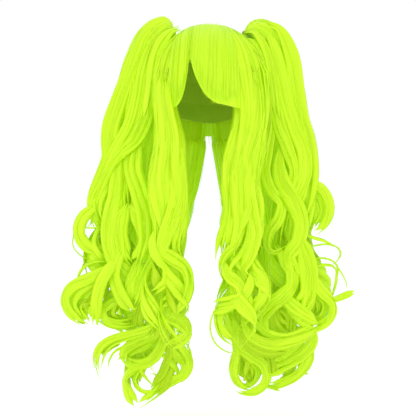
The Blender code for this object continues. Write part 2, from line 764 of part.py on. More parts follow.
def make_clip(name, side, material, cutter):
    """A plain comb clip: a bar with teeth along both of its long edges, resting on the crown."""
    point, along, across, out = seat_axes(side)
    bar_bottom = CLIP_TOOTH_HEIGHT * 0.35

    def place(u, v, w):
        return point + along * u + across * v + out * w

    def block(low, high, taper=0.0):
        corners = []
        for w, inset in ((low[2], taper), (high[2], 0.0)):
            for u, v in ((0, 0), (1, 0), (1, 1), (0, 1)):
                du = low[0] + inset if u == 0 else high[0] - inset
                dv = low[1] if v == 0 else high[1]
                corners.append(place(du, dv, w))
        faces = [(0, 1, 2, 3), (4, 5, 6, 7)]
        faces += [(i, (i + 1) % 4, 4 + (i + 1) % 4, 4 + i) for i in range(4)]
        return corners, faces

    half_length, half_width = CLIP_LENGTH / 2, CLIP_WIDTH / 2
    bar_low = (-half_length, -half_width, bar_bottom)
    bar_high = (half_length, half_width, bar_bottom + CLIP_HEIGHT)
    clip = make_object(name, *block(bar_low, bar_high), material)
    face_outwards(clip)
    pitch = (CLIP_LENGTH - 2 * CLIP_TOOTH_THICKNESS) / (CLIP_TEETH_A_SIDE - 1)
    for edge in (-1, 1):
        for i in range(CLIP_TEETH_A_SIDE):
            u = -half_length + CLIP_TOOTH_THICKNESS + pitch * i
            v = edge * (half_width - CLIP_TOOTH_THICKNESS / 2 - 0.2 * CLIP_TOOTH_THICKNESS)
            low = (
                u - CLIP_TOOTH_THICKNESS / 2,
                v - CLIP_TOOTH_THICKNESS / 2,
                bar_bottom - CLIP_TOOTH_HEIGHT,
            )
            high = (
                u + CLIP_TOOTH_THICKNESS / 2,
                v + CLIP_TOOTH_THICKNESS / 2,
                bar_bottom + CLIP_HEIGHT / 2,
            )
            tooth = make_helper(f"{name}_tooth_{edge}_{i}", *block(low, high, 0.0003))
            face_outwards(tooth)
            add_boolean(clip, tooth, "UNION")
    add_boolean(clip, cutter, "DIFFERENCE")
    return clip


def pad_height():
    """The pad's underside above the crown: over the clip's bar, with the seat gap."""
    return CLIP_TOOTH_HEIGHT * 0.35 + CLIP_HEIGHT + SEAT_GAP


def oval_mesh(side, levels, grow=0.0):
    """An oval disc square to the crown, through levels of size and height."""
    point, along, across, out = seat_axes(side)
    rings = []
    for share, level in levels:
        ring = []
        for i in range(PAD_SIDES):
            angle = 2 * math.pi * i / PAD_SIDES
            u = math.cos(angle) * (PAD_HALF_LENGTH * share + grow)
            v = math.sin(angle) * (PAD_HALF_WIDTH * share + grow)
            ring.append(point + along * u + across * v + out * level)
        rings.append(ring)
    return tube_mesh(rings)


def make_pad(name, side, material):
    """A sewn oval pad with rounded edges."""
    low = pad_height()
    levels = [(share, low + height * PAD_THICKNESS) for share, height in PAD_PROFILE]
    pad = make_object(name, *oval_mesh(side, levels), material)
    face_outwards(pad)
    return pad


def pigtail_sections(side, table, count):
    """Sections that fan out from the root between the two edges of the front view."""
    point, out = pigtail_seat(side)
    root = point + out * (pad_height() + PAD_THICKNESS * 0.5)

    def edge_height(share):
        return share * (PIGTAIL_RISE if share > 0 else HAIR_DROP)

    heights = [(edge_height(row[1]), edge_height(row[3])) for row in table]

    def edge_point(out_share, height, back):
        x = root.x + side * out_share * PIGTAIL_SPREAD
        return Vector((x, back * CROWN_OUTSIDE.half_depth, root.z + height))

    sections = []
    for k in range(count + 1):
        share = k / count
        back = spread(table, 4, share)
        inner = edge_point(spread(table, 0, share), spread(heights, 0, share), back)
        outer = edge_point(spread(table, 2, share), spread(heights, 1, share), back)
        deep = Vector((0, spread(table, 5, share) * PIGTAIL_HALF_DEPTH, 0))
        sections.append(((inner + outer) / 2, (outer - inner) / 2, deep))
    return sections


def make_seat_room(name, side):
    """The space round the pad and the clip that the pigtail keeps out of."""
    top = pad_height() + PAD_THICKNESS + SEAT_GAP
    room = make_helper(name, *oval_mesh(side, ((1.0, -CLIP_TOOTH_HEIGHT), (1.0, top)), SEAT_GAP))
    face_outwards(room)
    return room


def main():
    for thing in list(bpy.data.objects):
        bpy.data.objects.remove(thing)
    hair = make_material("hair", LIME, 0.38)
    net = make_material("cap_net", DEEP_LIME, 0.8)
    clip_plastic = make_material("clip_plastic", DEEP_LIME, 0.4)
    crown_room = make_envelope()

    make_cap(net)
    make_crown(hair)
    wide_room = make_fringe("fringe_wide", WIDE_FRINGE, 12, 8, hair)
    narrow_room = make_fringe("fringe_narrow", NARROW_FRINGE, 8, 8, hair)
    for name, table, curls, count, cutters in (
        ("face_lock_left", LEFT_FACE_LOCK, LEFT_FACE_CURLS, 14, (crown_room, narrow_room)),
        ("face_lock_right", RIGHT_FACE_LOCK, RIGHT_FACE_CURLS, 14, (crown_room, wide_room)),
        ("back_hair_left", LEFT_BACK_HAIR, LEFT_BACK_CURLS, 12, (crown_room,)),
        ("back_hair_right", RIGHT_BACK_HAIR, RIGHT_BACK_CURLS, 12, (crown_room,)),
    ):
        make_hair(name, fall_sections(table, count), curls, hair, cutters)
    for word, side, table, curls in (
        ("left", -1, LEFT_PIGTAIL, LEFT_PIGTAIL_CURLS),
        ("right", 1, RIGHT_PIGTAIL, RIGHT_PIGTAIL_CURLS),
    ):
        make_clip(f"pigtail_clip_{word}", side, clip_plastic, crown_room)
        make_pad(f"pigtail_pad_{word}", side, net)
        seat_room = make_seat_room(f"pigtail_seat_{word}", side)
        sections = pigtail_sections(side, table, 19)
        make_hair(f"pigtail_{word}", sections, curls, hair, (crown_room, seat_room))


main()
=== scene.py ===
# %% [markdown]
# # A pigtail wig in neon lime
#
# The wig is a stretch cap with hair sewn all over it, a parted fringe, a lock beside each cheek, long
# back hair that parts down the middle, and two pigtails that clip on high at the sides. Each pigtail
# springs up over its sewn base, arches outwards and ends in loose ribbon curls.
#
# The solid model already fixes where every piece is. This script dresses it: each solid of hair is
# replaced by grooved locks with fine strands laid over them.

# %% Load the fixed frame
import math

import bpy
import numpy as np
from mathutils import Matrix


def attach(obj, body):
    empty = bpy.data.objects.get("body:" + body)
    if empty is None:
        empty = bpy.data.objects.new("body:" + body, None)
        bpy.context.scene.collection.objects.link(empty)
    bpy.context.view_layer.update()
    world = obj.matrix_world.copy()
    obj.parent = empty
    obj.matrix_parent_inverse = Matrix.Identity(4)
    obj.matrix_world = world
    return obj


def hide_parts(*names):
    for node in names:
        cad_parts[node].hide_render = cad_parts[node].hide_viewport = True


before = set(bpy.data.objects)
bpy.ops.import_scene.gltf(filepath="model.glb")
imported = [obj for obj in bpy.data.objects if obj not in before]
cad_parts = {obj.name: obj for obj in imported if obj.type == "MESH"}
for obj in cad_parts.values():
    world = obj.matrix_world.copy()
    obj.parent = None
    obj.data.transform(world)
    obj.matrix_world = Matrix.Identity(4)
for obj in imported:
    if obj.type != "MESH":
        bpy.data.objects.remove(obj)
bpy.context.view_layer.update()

# %% [markdown]
# ## The wig's measurements
#
# The dressed wig has to sit exactly where the solid wig is, so the measurements below are the same
# ones that shaped the solids: the head that the cap fits, the dome of crown hair over it, and the
# sizes of the long hair. All are in metres, and angles are in degrees.

# %% Measurements
HEAD_HALF_WIDTH, HEAD_HALF_DEPTH, HEAD_DOME_HEIGHT = 0.077, 0.097, 0.105
CROWN_HALF_WIDTH, CROWN_HALF_DEPTH = 0.0948, 0.1128
CROWN_DOME_HEIGHT, CROWN_TOP = 0.092, 0.0108
CAP_INSIDE = (HEAD_HALF_WIDTH, HEAD_HALF_DEPTH, HEAD_DOME_HEIGHT, 0.0)
CROWN_OUTSIDE = (CROWN_HALF_WIDTH, CROWN_HALF_DEPTH, CROWN_DOME_HEIGHT, CROWN_TOP)
FRINGE_LENGTH = 0.150
HAIR_DROP = 0.690
PIGTAIL_SPREAD, PIGTAIL_RISE, PIGTAIL_HALF_DEPTH = 0.090, 0.042, 0.034
FALL_HALF_WIDTH = 0.026
CURL_RADIUS, CURL_HALF_WIDTH, CURL_FLATNESS = 0.026, 0.021, 0.42
PIGTAIL_AZIMUTH, PIGTAIL_POLAR = 102.0, 47.0
PAD_THICKNESS, PAD_HEIGHT = 0.0050, 0.00725

# %% [markdown]
# The tables follow each form from top to bottom, one row for each section. A comment above each group
# of tables names their columns.

# %% Tables of the edges, the fringe and the long hair
CAP_EDGE = ((0, 59), (45, 66), (68, 94), (92, 110), (130, 120), (180, 124))
CROWN_EDGE = ((0, 72.5), (45, 81), (68, 112), (92, 131), (125, 149), (180, 156))

# top_x, top_polar, cut_x, cut_drop
WIDE_FRINGE = (
    (-0.27, 24, -0.350, 0.44),
    (-0.22, 23, -0.300, 0.58),
    (-0.14, 22, -0.225, 0.71),
    (-0.04, 22, -0.120, 0.84),
    (0.07, 23, 0.000, 0.93),
    (0.18, 25, 0.140, 0.985),
    (0.29, 29, 0.290, 1.005),
    (0.40, 34, 0.430, 1.025),
    (0.50, 40, 0.580, 1.045),
)
NARROW_FRINGE = (
    (-0.29, 25, -0.362, 0.44),
    (-0.34, 27, -0.395, 0.62),
    (-0.39, 30, -0.450, 0.82),
    (-0.45, 34, -0.520, 0.95),
    (-0.52, 40, -0.620, 1.02),
    (-0.60, 47, -0.720, 1.00),
    (-0.66, 53, -0.790, 0.95),
)

# inner_out, inner_height, outer_out, outer_height, back, depth
LEFT_PIGTAIL = (
    (0.04, -0.033, -0.26, 0.33, 0.16, 0.76),
    (0.10, -0.041, -0.08, 0.83, 0.16, 0.78),
    (0.12, -0.051, 0.14, 1.00, 0.15, 0.80),
    (0.14, -0.062, 0.41, 0.81, 0.14, 0.82),
    (0.14, -0.075, 0.63, 0.38, 0.12, 0.86),
    (0.12, -0.091, 0.79, -0.012, 0.10, 0.90),
    (0.10, -0.112, 0.94, -0.062, 0.08, 0.92),
    (0.10, -0.139, 1.06, -0.120, 0.06, 0.98),
    (0.12, -0.179, 1.19, -0.184, 0.05, 1.02),
    (0.17, -0.237, 1.24, -0.248, 0.04, 1.04),
    (0.25, -0.309, 1.28, -0.322, 0.04, 1.04),
    (0.30, -0.388, 1.40, -0.393, 0.04, 1.04),
    (0.40, -0.468, 1.45, -0.466, 0.04, 1.02),
    (0.48, -0.548, 1.36, -0.548, 0.04, 0.96),
    (0.60, -0.619, 1.24, -0.619, 0.04, 0.80),
    (0.74, -0.680, 1.10, -0.680, 0.04, 0.45),
)
RIGHT_PIGTAIL = (
    (0.04, -0.033, -0.26, 0.33, 0.16, 0.76),
    (0.10, -0.041, -0.04, 0.72, 0.16, 0.78),
    (0.14, -0.051, 0.23, 0.85, 0.15, 0.80),
    (0.16, -0.062, 0.45, 0.72, 0.14, 0.82),
    (0.16, -0.075, 0.63, 0.33, 0.12, 0.86),
    (0.15, -0.094, 0.77, -0.014, 0.10, 0.90),
    (0.16, -0.118, 0.88, -0.062, 0.08, 0.92),
    (0.18, -0.150, 0.98, -0.126, 0.06, 0.98),
    (0.22, -0.189, 1.08, -0.189, 0.05, 1.02),
    (0.24, -0.242, 1.24, -0.248, 0.04, 1.04),
    (0.25, -0.317, 1.30, -0.317, 0.04, 1.04),
    (0.24, -0.396, 1.36, -0.400, 0.04, 1.04),
    (0.32, -0.475, 1.40, -0.475, 0.04, 1.02),
    (0.38, -0.554, 1.28, -0.554, 0.04, 0.96),
    (0.50, -0.627, 1.16, -0.627, 0.04, 0.80),
    (0.66, -0.683, 1.04, -0.683, 0.04, 0.45),
)

# across, back, drop, half_width, half_depth
LEFT_FACE_LOCK = (
    (-0.70, -0.40, 0.045, 0.40, 0.34),
    (-0.82, -0.42, 0.090, 0.54, 0.46),
    (-0.86, -0.50, 0.145, 0.58, 0.60),
    (-0.86, -0.58, 0.197, 0.62, 0.76),
    (-0.81, -0.64, 0.250, 0.74, 0.86),
    (-0.76, -0.68, 0.304, 1.00, 0.92),
    (-0.75, -0.70, 0.357, 1.12, 0.96),
    (-0.77, -0.71, 0.423, 1.24, 0.98),
    (-0.78, -0.71, 0.489, 1.26, 0.98),
    (-0.78, -0.71, 0.555, 1.22, 0.94),
    (-0.76, -0.71, 0.615, 0.92, 0.80),
    (-0.74, -0.71, 0.665, 0.50, 0.50),
)
RIGHT_FACE_LOCK = (
    (0.74, -0.40, 0.045, 0.56, 0.34),
    (0.76, -0.42, 0.090, 0.96, 0.46),
    (0.79, -0.50, 0.145, 1.16, 0.62),
    (0.81, -0.58, 0.197, 1.20, 0.78),
    (0.80, -0.64, 0.250, 1.18, 0.88),
    (0.73, -0.68, 0.304, 1.20, 0.94),
    (0.66, -0.70, 0.357, 1.30, 0.98),
    (0.62, -0.71, 0.423, 1.32, 0.98),
    (0.62, -0.71, 0.489, 1.38, 0.98),
    (0.59, -0.71, 0.555, 1.40, 0.94),
    (0.56, -0.71, 0.615, 1.10, 0.80),
    (0.54, -0.71, 0.665, 0.60, 0.50),
)
LEFT_BACK_HAIR = (
    (-0.46, 0.86, 0.130, 1.56, 0.36),
    (-0.47, 0.92, 0.200, 1.66, 0.72),
    (-0.51, 0.90, 0.270, 1.72, 0.90),
    (-0.58, 0.84, 0.340, 1.68, 1.02),
    (-0.68, 0.78, 0.420, 1.64, 1.10),
    (-0.80, 0.73, 0.500, 1.64, 1.14),
    (-0.88, 0.70, 0.580, 1.56, 1.10),
    (-0.92, 0.68, 0.660, 1.28, 0.96),
    (-0.94, 0.67, 0.730, 0.70, 0.60),
)
RIGHT_BACK_HAIR = (
    (0.46, 0.86, 0.130, 1.56, 0.36),
    (0.47, 0.92, 0.200, 1.66, 0.72),
    (0.51, 0.90, 0.270, 1.72, 0.90),
    (0.59, 0.84, 0.340, 1.68, 1.02),
    (0.68, 0.78, 0.420, 1.66, 1.10),
    (0.78, 0.73, 0.500, 1.66, 1.14),
    (0.84, 0.70, 0.580, 1.60, 1.10),
    (0.86, 0.68, 0.660, 1.32, 0.96),
    (0.86, 0.67, 0.730, 0.74, 0.60),
)

# %% [markdown]
# Each curl hangs on its own line and swings round it more and more towards the tip. "Lift" turns the
# swing from a coil round the line into a loop that faces the viewer.

# %% Tables of the curls
# start_x, start_drop, end_x, end_drop, back, swing, turns, phase, lift, width
LEFT_PIGTAIL_CURLS = (
    (-2.00, 0.390, -2.26, 0.575, 0.02, 0.75, 1.15, 120, 0.85, 0.65),
    (-1.95, 0.470, -2.52, 0.755, -0.02, 1.05, 1.20, 70, 0.45, 1.15),
    (-1.80, 0.490, -2.16, 0.800, 0.10, 1.00, 1.40, 210, 0.30, 1.10),
    (-1.65, 0.500, -1.78, 0.810, -0.06, 1.00, 1.50, 20, 0.20, 1.10),
    (-1.45, 0.490, -1.42, 0.790, 0.10, 0.95, 1.70, 160, 0.15, 1.05),
)
RIGHT_PIGTAIL_CURLS = (
    (1.95, 0.350, 2.16, 0.540, 0.02, 0.80, 1.00, 60, 0.80, 0.80),
    (1.80, 0.490, 2.12, 0.795, 0.04, 1.15, 1.40, 20, 0.30, 1.15),
    (1.60, 0.500, 1.80, 0.830, -0.06, 1.00, 1.50, 190, 0.20, 1.10),
    (1.40, 0.490, 1.38, 0.810, 0.10, 0.95, 1.70, 300, 0.15, 1.05),
)
LEFT_FACE_CURLS = (
    (-0.66, 0.500, -0.62, 0.785, -0.71, 0.90, 1.30, 330, 0.20, 1.05),
    (-0.80, 0.520, -0.66, 0.880, -0.74, 0.85, 1.60, 120, 0.20, 0.95),
    (-0.88, 0.520, -1.12, 0.830, -0.70, 0.85, 1.50, 220, 0.20, 0.95),
)
RIGHT_FACE_CURLS = (
    (0.50, 0.500, 0.32, 0.770, -0.71, 0.90, 1.10, 150, 0.25, 1.05),
    (0.62, 0.520, 0.64, 0.880, -0.74, 0.85, 1.60, 300, 0.20, 0.95),
    (0.76, 0.520, 1.02, 0.840, -0.70, 0.85, 1.50, 40, 0.20, 0.95),
)
LEFT_BACK_CURLS = (
    (-0.92, 0.560, -1.22, 1.005, 0.68, 1.10, 1.90, 40, 0.30, 1.10),
    (-0.62, 0.540, -0.60, 0.945, 0.72, 0.95, 1.70, 180, 0.25, 1.05),
    (-1.15, 0.550, -1.80, 0.900, 0.70, 0.95, 1.40, 260, 0.30, 1.00),
    (-1.00, 0.560, -0.92, 0.930, 0.80, 0.90, 1.60, 320, 0.20, 1.05),
)
RIGHT_BACK_CURLS = (
    (0.62, 0.550, 0.56, 0.955, 0.70, 1.00, 1.70, 200, 0.30, 1.10),
    (0.90, 0.560, 0.92, 0.975, 0.74, 1.05, 1.70, 20, 0.30, 1.10),
    (1.12, 0.550, 1.56, 0.950, 0.70, 1.00, 1.60, 120, 0.30, 1.10),
    (0.90, 0.560, 1.24, 0.900, 0.80, 0.90, 1.60, 280, 0.20, 1.05),
)

# %% [markdown]
# The locks that show most were traced on the photo. Each row is a lock: its half width in pixels, then its
# places as pixels across and down the photo and millimetres forward of the wig's middle. The camera turns
# these places back into metres.

# %% Tables of the locks traced on the photo
LEFT_PIGTAIL_TRACED = (
    (5, (181, 30, 6), (171, 31, 20), (161, 42, 28), (154, 58, 30), (150, 82, 32), (148, 108, 35),
     (144, 130, 38)),
    (4.5, (178, 36, 12), (168, 42, 26), (160, 56, 30), (155, 74, 32), (153, 98, 34), (150, 120, 37)),
    (4, (174, 43, 14), (166, 51, 28), (160, 66, 32), (157, 86, 34), (155, 108, 36)),
    (9, (166, 19, -8), (146, 34, 10), (132, 66, 22), (119, 100, 26), (110, 130, 30), (111, 158, 30),
     (103, 180, 30), (95, 199, 30), (95, 216, 24), (104, 234, 18)),
    (9, (174, 22, -10), (157, 35, 12), (144, 67, 24), (138, 100, 30), (131, 125, 34), (120, 145, 36),
     (109, 165, 34), (99, 186, 32), (93, 203, 28), (97, 221, 22), (108, 240, 16)),
    (7, (179, 26, -8), (164, 38, 8), (152, 67, 20), (149, 96, 28), (147, 118, 34), (137, 139, 38),
     (123, 153, 38), (112, 168, 36), (105, 187, 32), (104, 206, 28)),
    (12, (140, 128, 22), (134, 150, 28), (133, 170, 33), (140, 192, 36), (147, 214, 36), (146, 236, 36),
     (139, 256, 36), (133, 272, 36)),
    (8, (122, 150, 30), (117, 172, 34), (115, 196, 35), (110, 218, 34), (108, 240, 34), (112, 262, 34),
     (117, 282, 32)),
    (6.5, (126, 240, 30), (117, 258, 36), (114, 275, 38), (119, 291, 38), (128, 306, 36),
     (136, 310, 32), (142, 300, 28)),
    (6, (150, 240, 28), (155, 255, 33), (150, 268, 36), (143, 283, 38), (139, 297, 38), (133, 309, 36)),
    (10, (127, 203, 34), (122, 220, 37), (121, 238, 38), (125, 254, 34), (133, 266, 26)),
    (8, (129, 204, 34), (140, 220, 38), (145, 238, 38), (142, 255, 34), (134, 268, 26)),
    (5, (110, 172, 28), (99, 188, 30), (91, 200, 28), (92, 210, 22), (99, 222, 18), (106, 236, 16)),
    (4.5, (104, 200, 20), (93, 208, 26), (82, 219, 26), (79, 233, 22), (86, 246, 18), (98, 251, 14),
     (109, 247, 10), (117, 238, 8), (120, 226, 6)),
    (1.2, (104, 226, 20), (93, 228, 24), (82, 227, 20)),
    (5, (104, 288, 14), (88, 296, 14), (80, 306, 10), (84, 316, 8), (96, 322, 6)),
    (0.8, (84, 221, 20), (75, 232, 18), (73, 246, 16), (83, 257, 14), (97, 260, 12)),
    (2.2, (108, 262, 22), (95, 262, 22), (83, 268, 20), (78, 278, 18), (82, 288, 16)),
    (5, (120, 260, 28), (105, 270, 34), (88, 279, 34), (73, 286, 30), (65, 296, 22), (67, 309, 14),
     (77, 320, 8), (90, 327, 6)),
    (5, (118, 266, 24), (103, 276, 28), (87, 285, 28), (76, 294, 22), (73, 305, 14), (80, 316, 8),
     (91, 324, 6)),
    (4.5, (114, 272, 20), (99, 283, 22), (87, 293, 18), (84, 305, 12), (89, 317, 8), (95, 326, 8)),
    (5.5, (122, 256, 32), (110, 268, 40), (101, 283, 42), (96, 299, 40), (94, 314, 34), (93, 328, 26)),
    (3, (104, 284, 34), (96, 296, 30), (90, 308, 24), (90, 320, 18)),
    (4, (130, 294, 24), (113, 302, 22), (102, 311, 20), (106, 321, 18), (122, 326, 14), (138, 323, 12)),
    (2, (124, 298, 26), (109, 306, 26), (106, 316, 24), (118, 321, 22), (132, 318, 18)),
    (1.2, (122, 304, 20), (104, 308, 22), (97, 318, 18), (108, 327, 14), (128, 330, 12)),
    (7, (141, 256, 28), (136, 270, 33), (131, 284, 35), (131, 298, 35), (134, 307, 32)),
    (7, (150, 294, 28), (156, 307, 36), (168, 315, 40), (180, 321, 38), (187, 330, 30), (182, 339, 22),
     (173, 344, 16), (162, 352, 10)),
    (4, (153, 300, 24), (162, 311, 34), (175, 319, 34), (180, 328, 28), (174, 336, 22)),
    (3, (158, 314, 20), (150, 327, 26), (134, 333, 30), (115, 338, 30), (103, 345, 26), (97, 357, 22),
     (99, 374, 16)),
    (2.2, (156, 322, 18), (146, 333, 24), (128, 339, 26), (113, 345, 24), (105, 354, 20),
     (101, 368, 14)),
    (1.8, (150, 330, 16), (134, 342, 20), (118, 349, 20), (110, 358, 16), (108, 368, 12)),
    (1, (152, 326, 16), (122, 336, 22), (100, 350, 20), (96, 368, 14), (102, 381, 10)),
)
RIGHT_PIGTAIL_TRACED = (
    (5, (243, 33, 6), (254, 32, 20), (263, 43, 28), (269, 60, 30), (273, 84, 32), (276, 110, 34),
     (281, 132, 36)),
    (4.5, (245, 38, 12), (254, 43, 26), (261, 56, 30), (266, 74, 32), (269, 98, 34), (271, 122, 36)),
    (4, (248, 44, 14), (254, 52, 28), (259, 66, 32), (263, 86, 34), (266, 110, 36)),
    (9, (262, 22, -8), (280, 30, 10), (292, 58, 20), (297, 90, 25), (301, 118, 28), (307, 142, 30),
     (308, 165, 30), (305, 190, 30), (298, 214, 30), (294, 236, 28)),
    (8, (258, 26, -6), (272, 40, 12), (281, 70, 22), (287, 100, 28), (295, 128, 32), (304, 152, 34),
     (305, 175, 34), (297, 198, 34), (288, 217, 33), (286, 236, 30)),
    (7, (254, 28, -6), (264, 44, 12), (271, 72, 24), (275, 100, 29), (279, 125, 33), (288, 148, 36),
     (295, 170, 37), (291, 192, 37), (283, 210, 34)),
    (6, (250, 32, -8), (260, 50, 14), (266, 78, 24), (270, 105, 29), (270, 128, 32), (267, 150, 34),
     (265, 172, 36), (271, 190, 36), (281, 203, 36), (279, 218, 35), (270, 232, 34), (268, 246, 34),
     (275, 252, 35), (288, 246, 36), (297, 234, 34)),
    (9, (284, 140, 30), (279, 160, 34), (282, 182, 37), (293, 202, 38), (300, 222, 37), (297, 240, 36),
     (288, 256, 36), (292, 272, 36), (296, 286, 34), (288, 296, 34)),
    (8, (276, 245, 30), (284, 260, 34), (292, 272, 36), (292, 286, 37), (283, 297, 37), (271, 306, 36),
     (263, 318, 34), (266, 331, 30), (278, 338, 26)),
    (10, (296, 230, 30), (303, 250, 33), (308, 272, 34), (309, 292, 33), (303, 310, 30),
     (300, 325, 26)),
    (7, (280, 290, 28), (290, 303, 32), (303, 314, 33), (314, 322, 30), (318, 330, 26)),
    (6, (300, 262, 24), (311, 280, 30), (323, 294, 32), (332, 304, 28), (331, 317, 22), (321, 326, 14),
     (307, 331, 8), (296, 334, 4)),
    (4, (304, 276, 20), (316, 291, 24), (325, 303, 22), (323, 315, 16), (313, 322, 10), (302, 324, 6)),
    (3, (308, 290, 16), (317, 300, 16), (318, 311, 12), (310, 317, 8)),
    (5, (304, 180, 20), (317, 185, 26), (326, 193, 26), (330, 206, 24), (328, 219, 22), (320, 230, 20),
     (306, 236, 18)),
    (3, (306, 187, 16), (318, 194, 18), (323, 206, 16), (321, 219, 14), (310, 230, 12)),
    (3, (306, 196, 14), (314, 203, 14), (315, 214, 12), (308, 226, 10)),
    (6, (308, 192, 12), (317, 202, 12), (319, 216, 10), (312, 229, 8)),
    (2.4, (298, 228, 24), (309, 236, 24), (321, 240, 22), (332, 244, 20)),
    (1.2, (300, 238, 22), (310, 246, 22), (325, 244, 22), (337, 247, 20), (341, 254, 18),
     (337, 261, 16), (332, 265, 14)),
    (1, (306, 242, 20), (310, 252, 22), (313, 258, 22), (321, 259, 20)),
    (1.4, (302, 258, 22), (312, 259, 24), (323, 258, 22), (333, 261, 20), (338, 268, 18),
     (336, 280, 16), (331, 298, 14)),
    (2.2, (298, 262, 24), (311, 267, 26), (324, 265, 24), (335, 268, 20), (336, 281, 17),
     (331, 300, 14)),
    (0.8, (334, 262, 18), (341, 272, 16), (346, 282, 14), (347, 290, 14)),
    (3.6, (316, 298, 18), (330, 301, 22), (344, 297, 22), (358, 290, 20)),
    (4.5, (241, 316, 30), (247, 331, 34), (260, 342, 36), (277, 345, 36), (295, 341, 32),
     (311, 333, 26), (322, 322, 20)),
    (3, (252, 316, 28), (264, 331, 32), (284, 337, 30), (304, 331, 24), (317, 321, 18)),
    (5, (286, 300, 22), (298, 316, 26), (308, 325, 24), (318, 326, 18)),
)
LEFT_FACE_TRACED = (
    (7, (180, 38, 26), (171, 50, 52), (165, 68, 64), (163, 90, 72), (164, 116, 84), (169, 143, 96),
     (175, 172, 101)),
    (9, (162, 72, 48), (160, 100, 56), (163, 125, 80), (168, 148, 94), (174, 170, 100), (177, 192, 103),
     (172, 215, 104), (165, 235, 104), (163, 250, 104), (172, 259, 106), (184, 268, 106),
     (188, 282, 102), (183, 300, 96), (171, 313, 90)),
    (4, (178, 262, 96), (186, 274, 96), (189, 288, 92), (184, 302, 86), (174, 314, 80), (166, 322, 74)),
    (7, (170, 105, 78), (172, 130, 90), (178, 155, 98), (182, 180, 100), (182, 205, 100),
     (177, 228, 100), (175, 248, 98), (182, 268, 92), (185, 290, 86)),
    (6, (158, 225, 84), (154, 243, 90), (158, 256, 94), (167, 268, 96), (166, 282, 94), (155, 292, 92),
     (146, 296, 88)),
    (5, (170, 262, 84), (178, 276, 86), (176, 292, 84), (165, 302, 80), (152, 306, 76)),
)
RIGHT_FACE_TRACED = (
    (8, (224, 27, 26), (235, 42, 68), (241, 62, 86), (245, 86, 90), (247, 112, 92), (245, 140, 99),
     (241, 172, 103), (238, 205, 104), (236, 232, 103)),
    (7, (233, 30, 22), (246, 48, 52), (253, 70, 68), (257, 94, 78), (258, 118, 86), (254, 146, 97),
     (250, 178, 102), (249, 210, 103), (248, 238, 102)),
    (6, (243, 37, 18), (255, 56, 34), (261, 80, 52), (264, 104, 66), (264, 126, 78), (260, 152, 92),
     (256, 182, 98)),
    (7, (222, 260, 100), (229, 274, 102), (239, 284, 102), (241, 294, 99), (232, 302, 96),
     (220, 307, 93), (209, 311, 90)),
    (5, (250, 272, 97), (249, 286, 98), (241, 298, 97), (229, 305, 95), (218, 310, 92), (209, 313, 90)),
    (1.2, (228, 296, 84), (215, 310, 88), (210, 327, 86), (215, 343, 80), (227, 352, 74),
     (237, 352, 68)),
    (3, (234, 296, 80), (223, 308, 82), (220, 322, 80), (226, 334, 74), (236, 342, 68)),
    (2, (230, 298, 76), (216, 312, 80), (216, 326, 78), (222, 338, 72), (234, 346, 66)),
    (13, (245, 62, 74), (250, 85, 78), (252, 110, 84), (249, 135, 94), (245, 158, 99), (241, 180, 103),
     (241, 205, 105), (242, 228, 105), (237, 246, 105), (227, 258, 105), (223, 269, 103),
     (229, 280, 98), (238, 288, 94)),
    (7, (256, 90, 72), (259, 115, 82), (256, 140, 92), (251, 165, 98), (249, 190, 101), (253, 215, 102),
     (256, 235, 102), (250, 255, 100), (243, 270, 97), (249, 283, 92), (249, 296, 88), (240, 308, 82)),
    (5, (252, 265, 90), (262, 280, 92), (263, 294, 90), (256, 307, 86), (254, 318, 80)),
    (4, (236, 120, 84), (231, 145, 92), (227, 170, 96), (229, 195, 98), (228, 220, 98), (222, 243, 98),
     (219, 260, 97), (222, 272, 94)),
)
LEFT_BACK_TRACED = (
    (6, (163, 330, -56), (161, 346, -56), (151, 359, -58), (138, 364, -58), (127, 360, -62),
     (123, 351, -66)),
    (5, (168, 324, -56), (153, 336, -56), (137, 342, -56), (125, 350, -58), (124, 361, -62),
     (134, 369, -66)),
    (4, (158, 336, -58), (148, 347, -58), (136, 351, -60), (128, 357, -62), (132, 366, -64),
     (146, 368, -64)),
    (4, (172, 330, -58), (160, 342, -62), (144, 348, -64), (130, 350, -64), (120, 357, -62),
     (116, 366, -60)),
    (5, (166, 340, -60), (174, 352, -64), (184, 363, -66), (183, 374, -70), (172, 382, -76),
     (158, 390, -80), (146, 402, -82)),
    (3, (172, 336, -58), (181, 348, -62), (189, 360, -66), (187, 373, -70), (177, 381, -74),
     (165, 387, -78)),
    (2.5, (160, 352, -62), (172, 364, -66), (178, 374, -70), (172, 382, -74)),
    (5, (142, 366, -60), (130, 372, -64), (125, 380, -70), (130, 393, -76), (139, 406, -80)),
    (3, (150, 362, -64), (138, 370, -66), (134, 381, -72), (142, 391, -76), (155, 391, -78),
     (161, 381, -78), (154, 373, -76), (143, 375, -74)),
    (1.4, (146, 366, -66), (134, 374, -70), (137, 388, -76), (150, 394, -80), (162, 386, -82),
     (158, 374, -80)),
    (1.6, (176, 332, -60), (188, 346, -62), (191, 359, -66), (186, 373, -70), (172, 385, -76),
     (155, 398, -80), (140, 408, -82)),
    (3, (175, 372, -72), (160, 384, -78), (150, 396, -80), (139, 407, -82)),
)
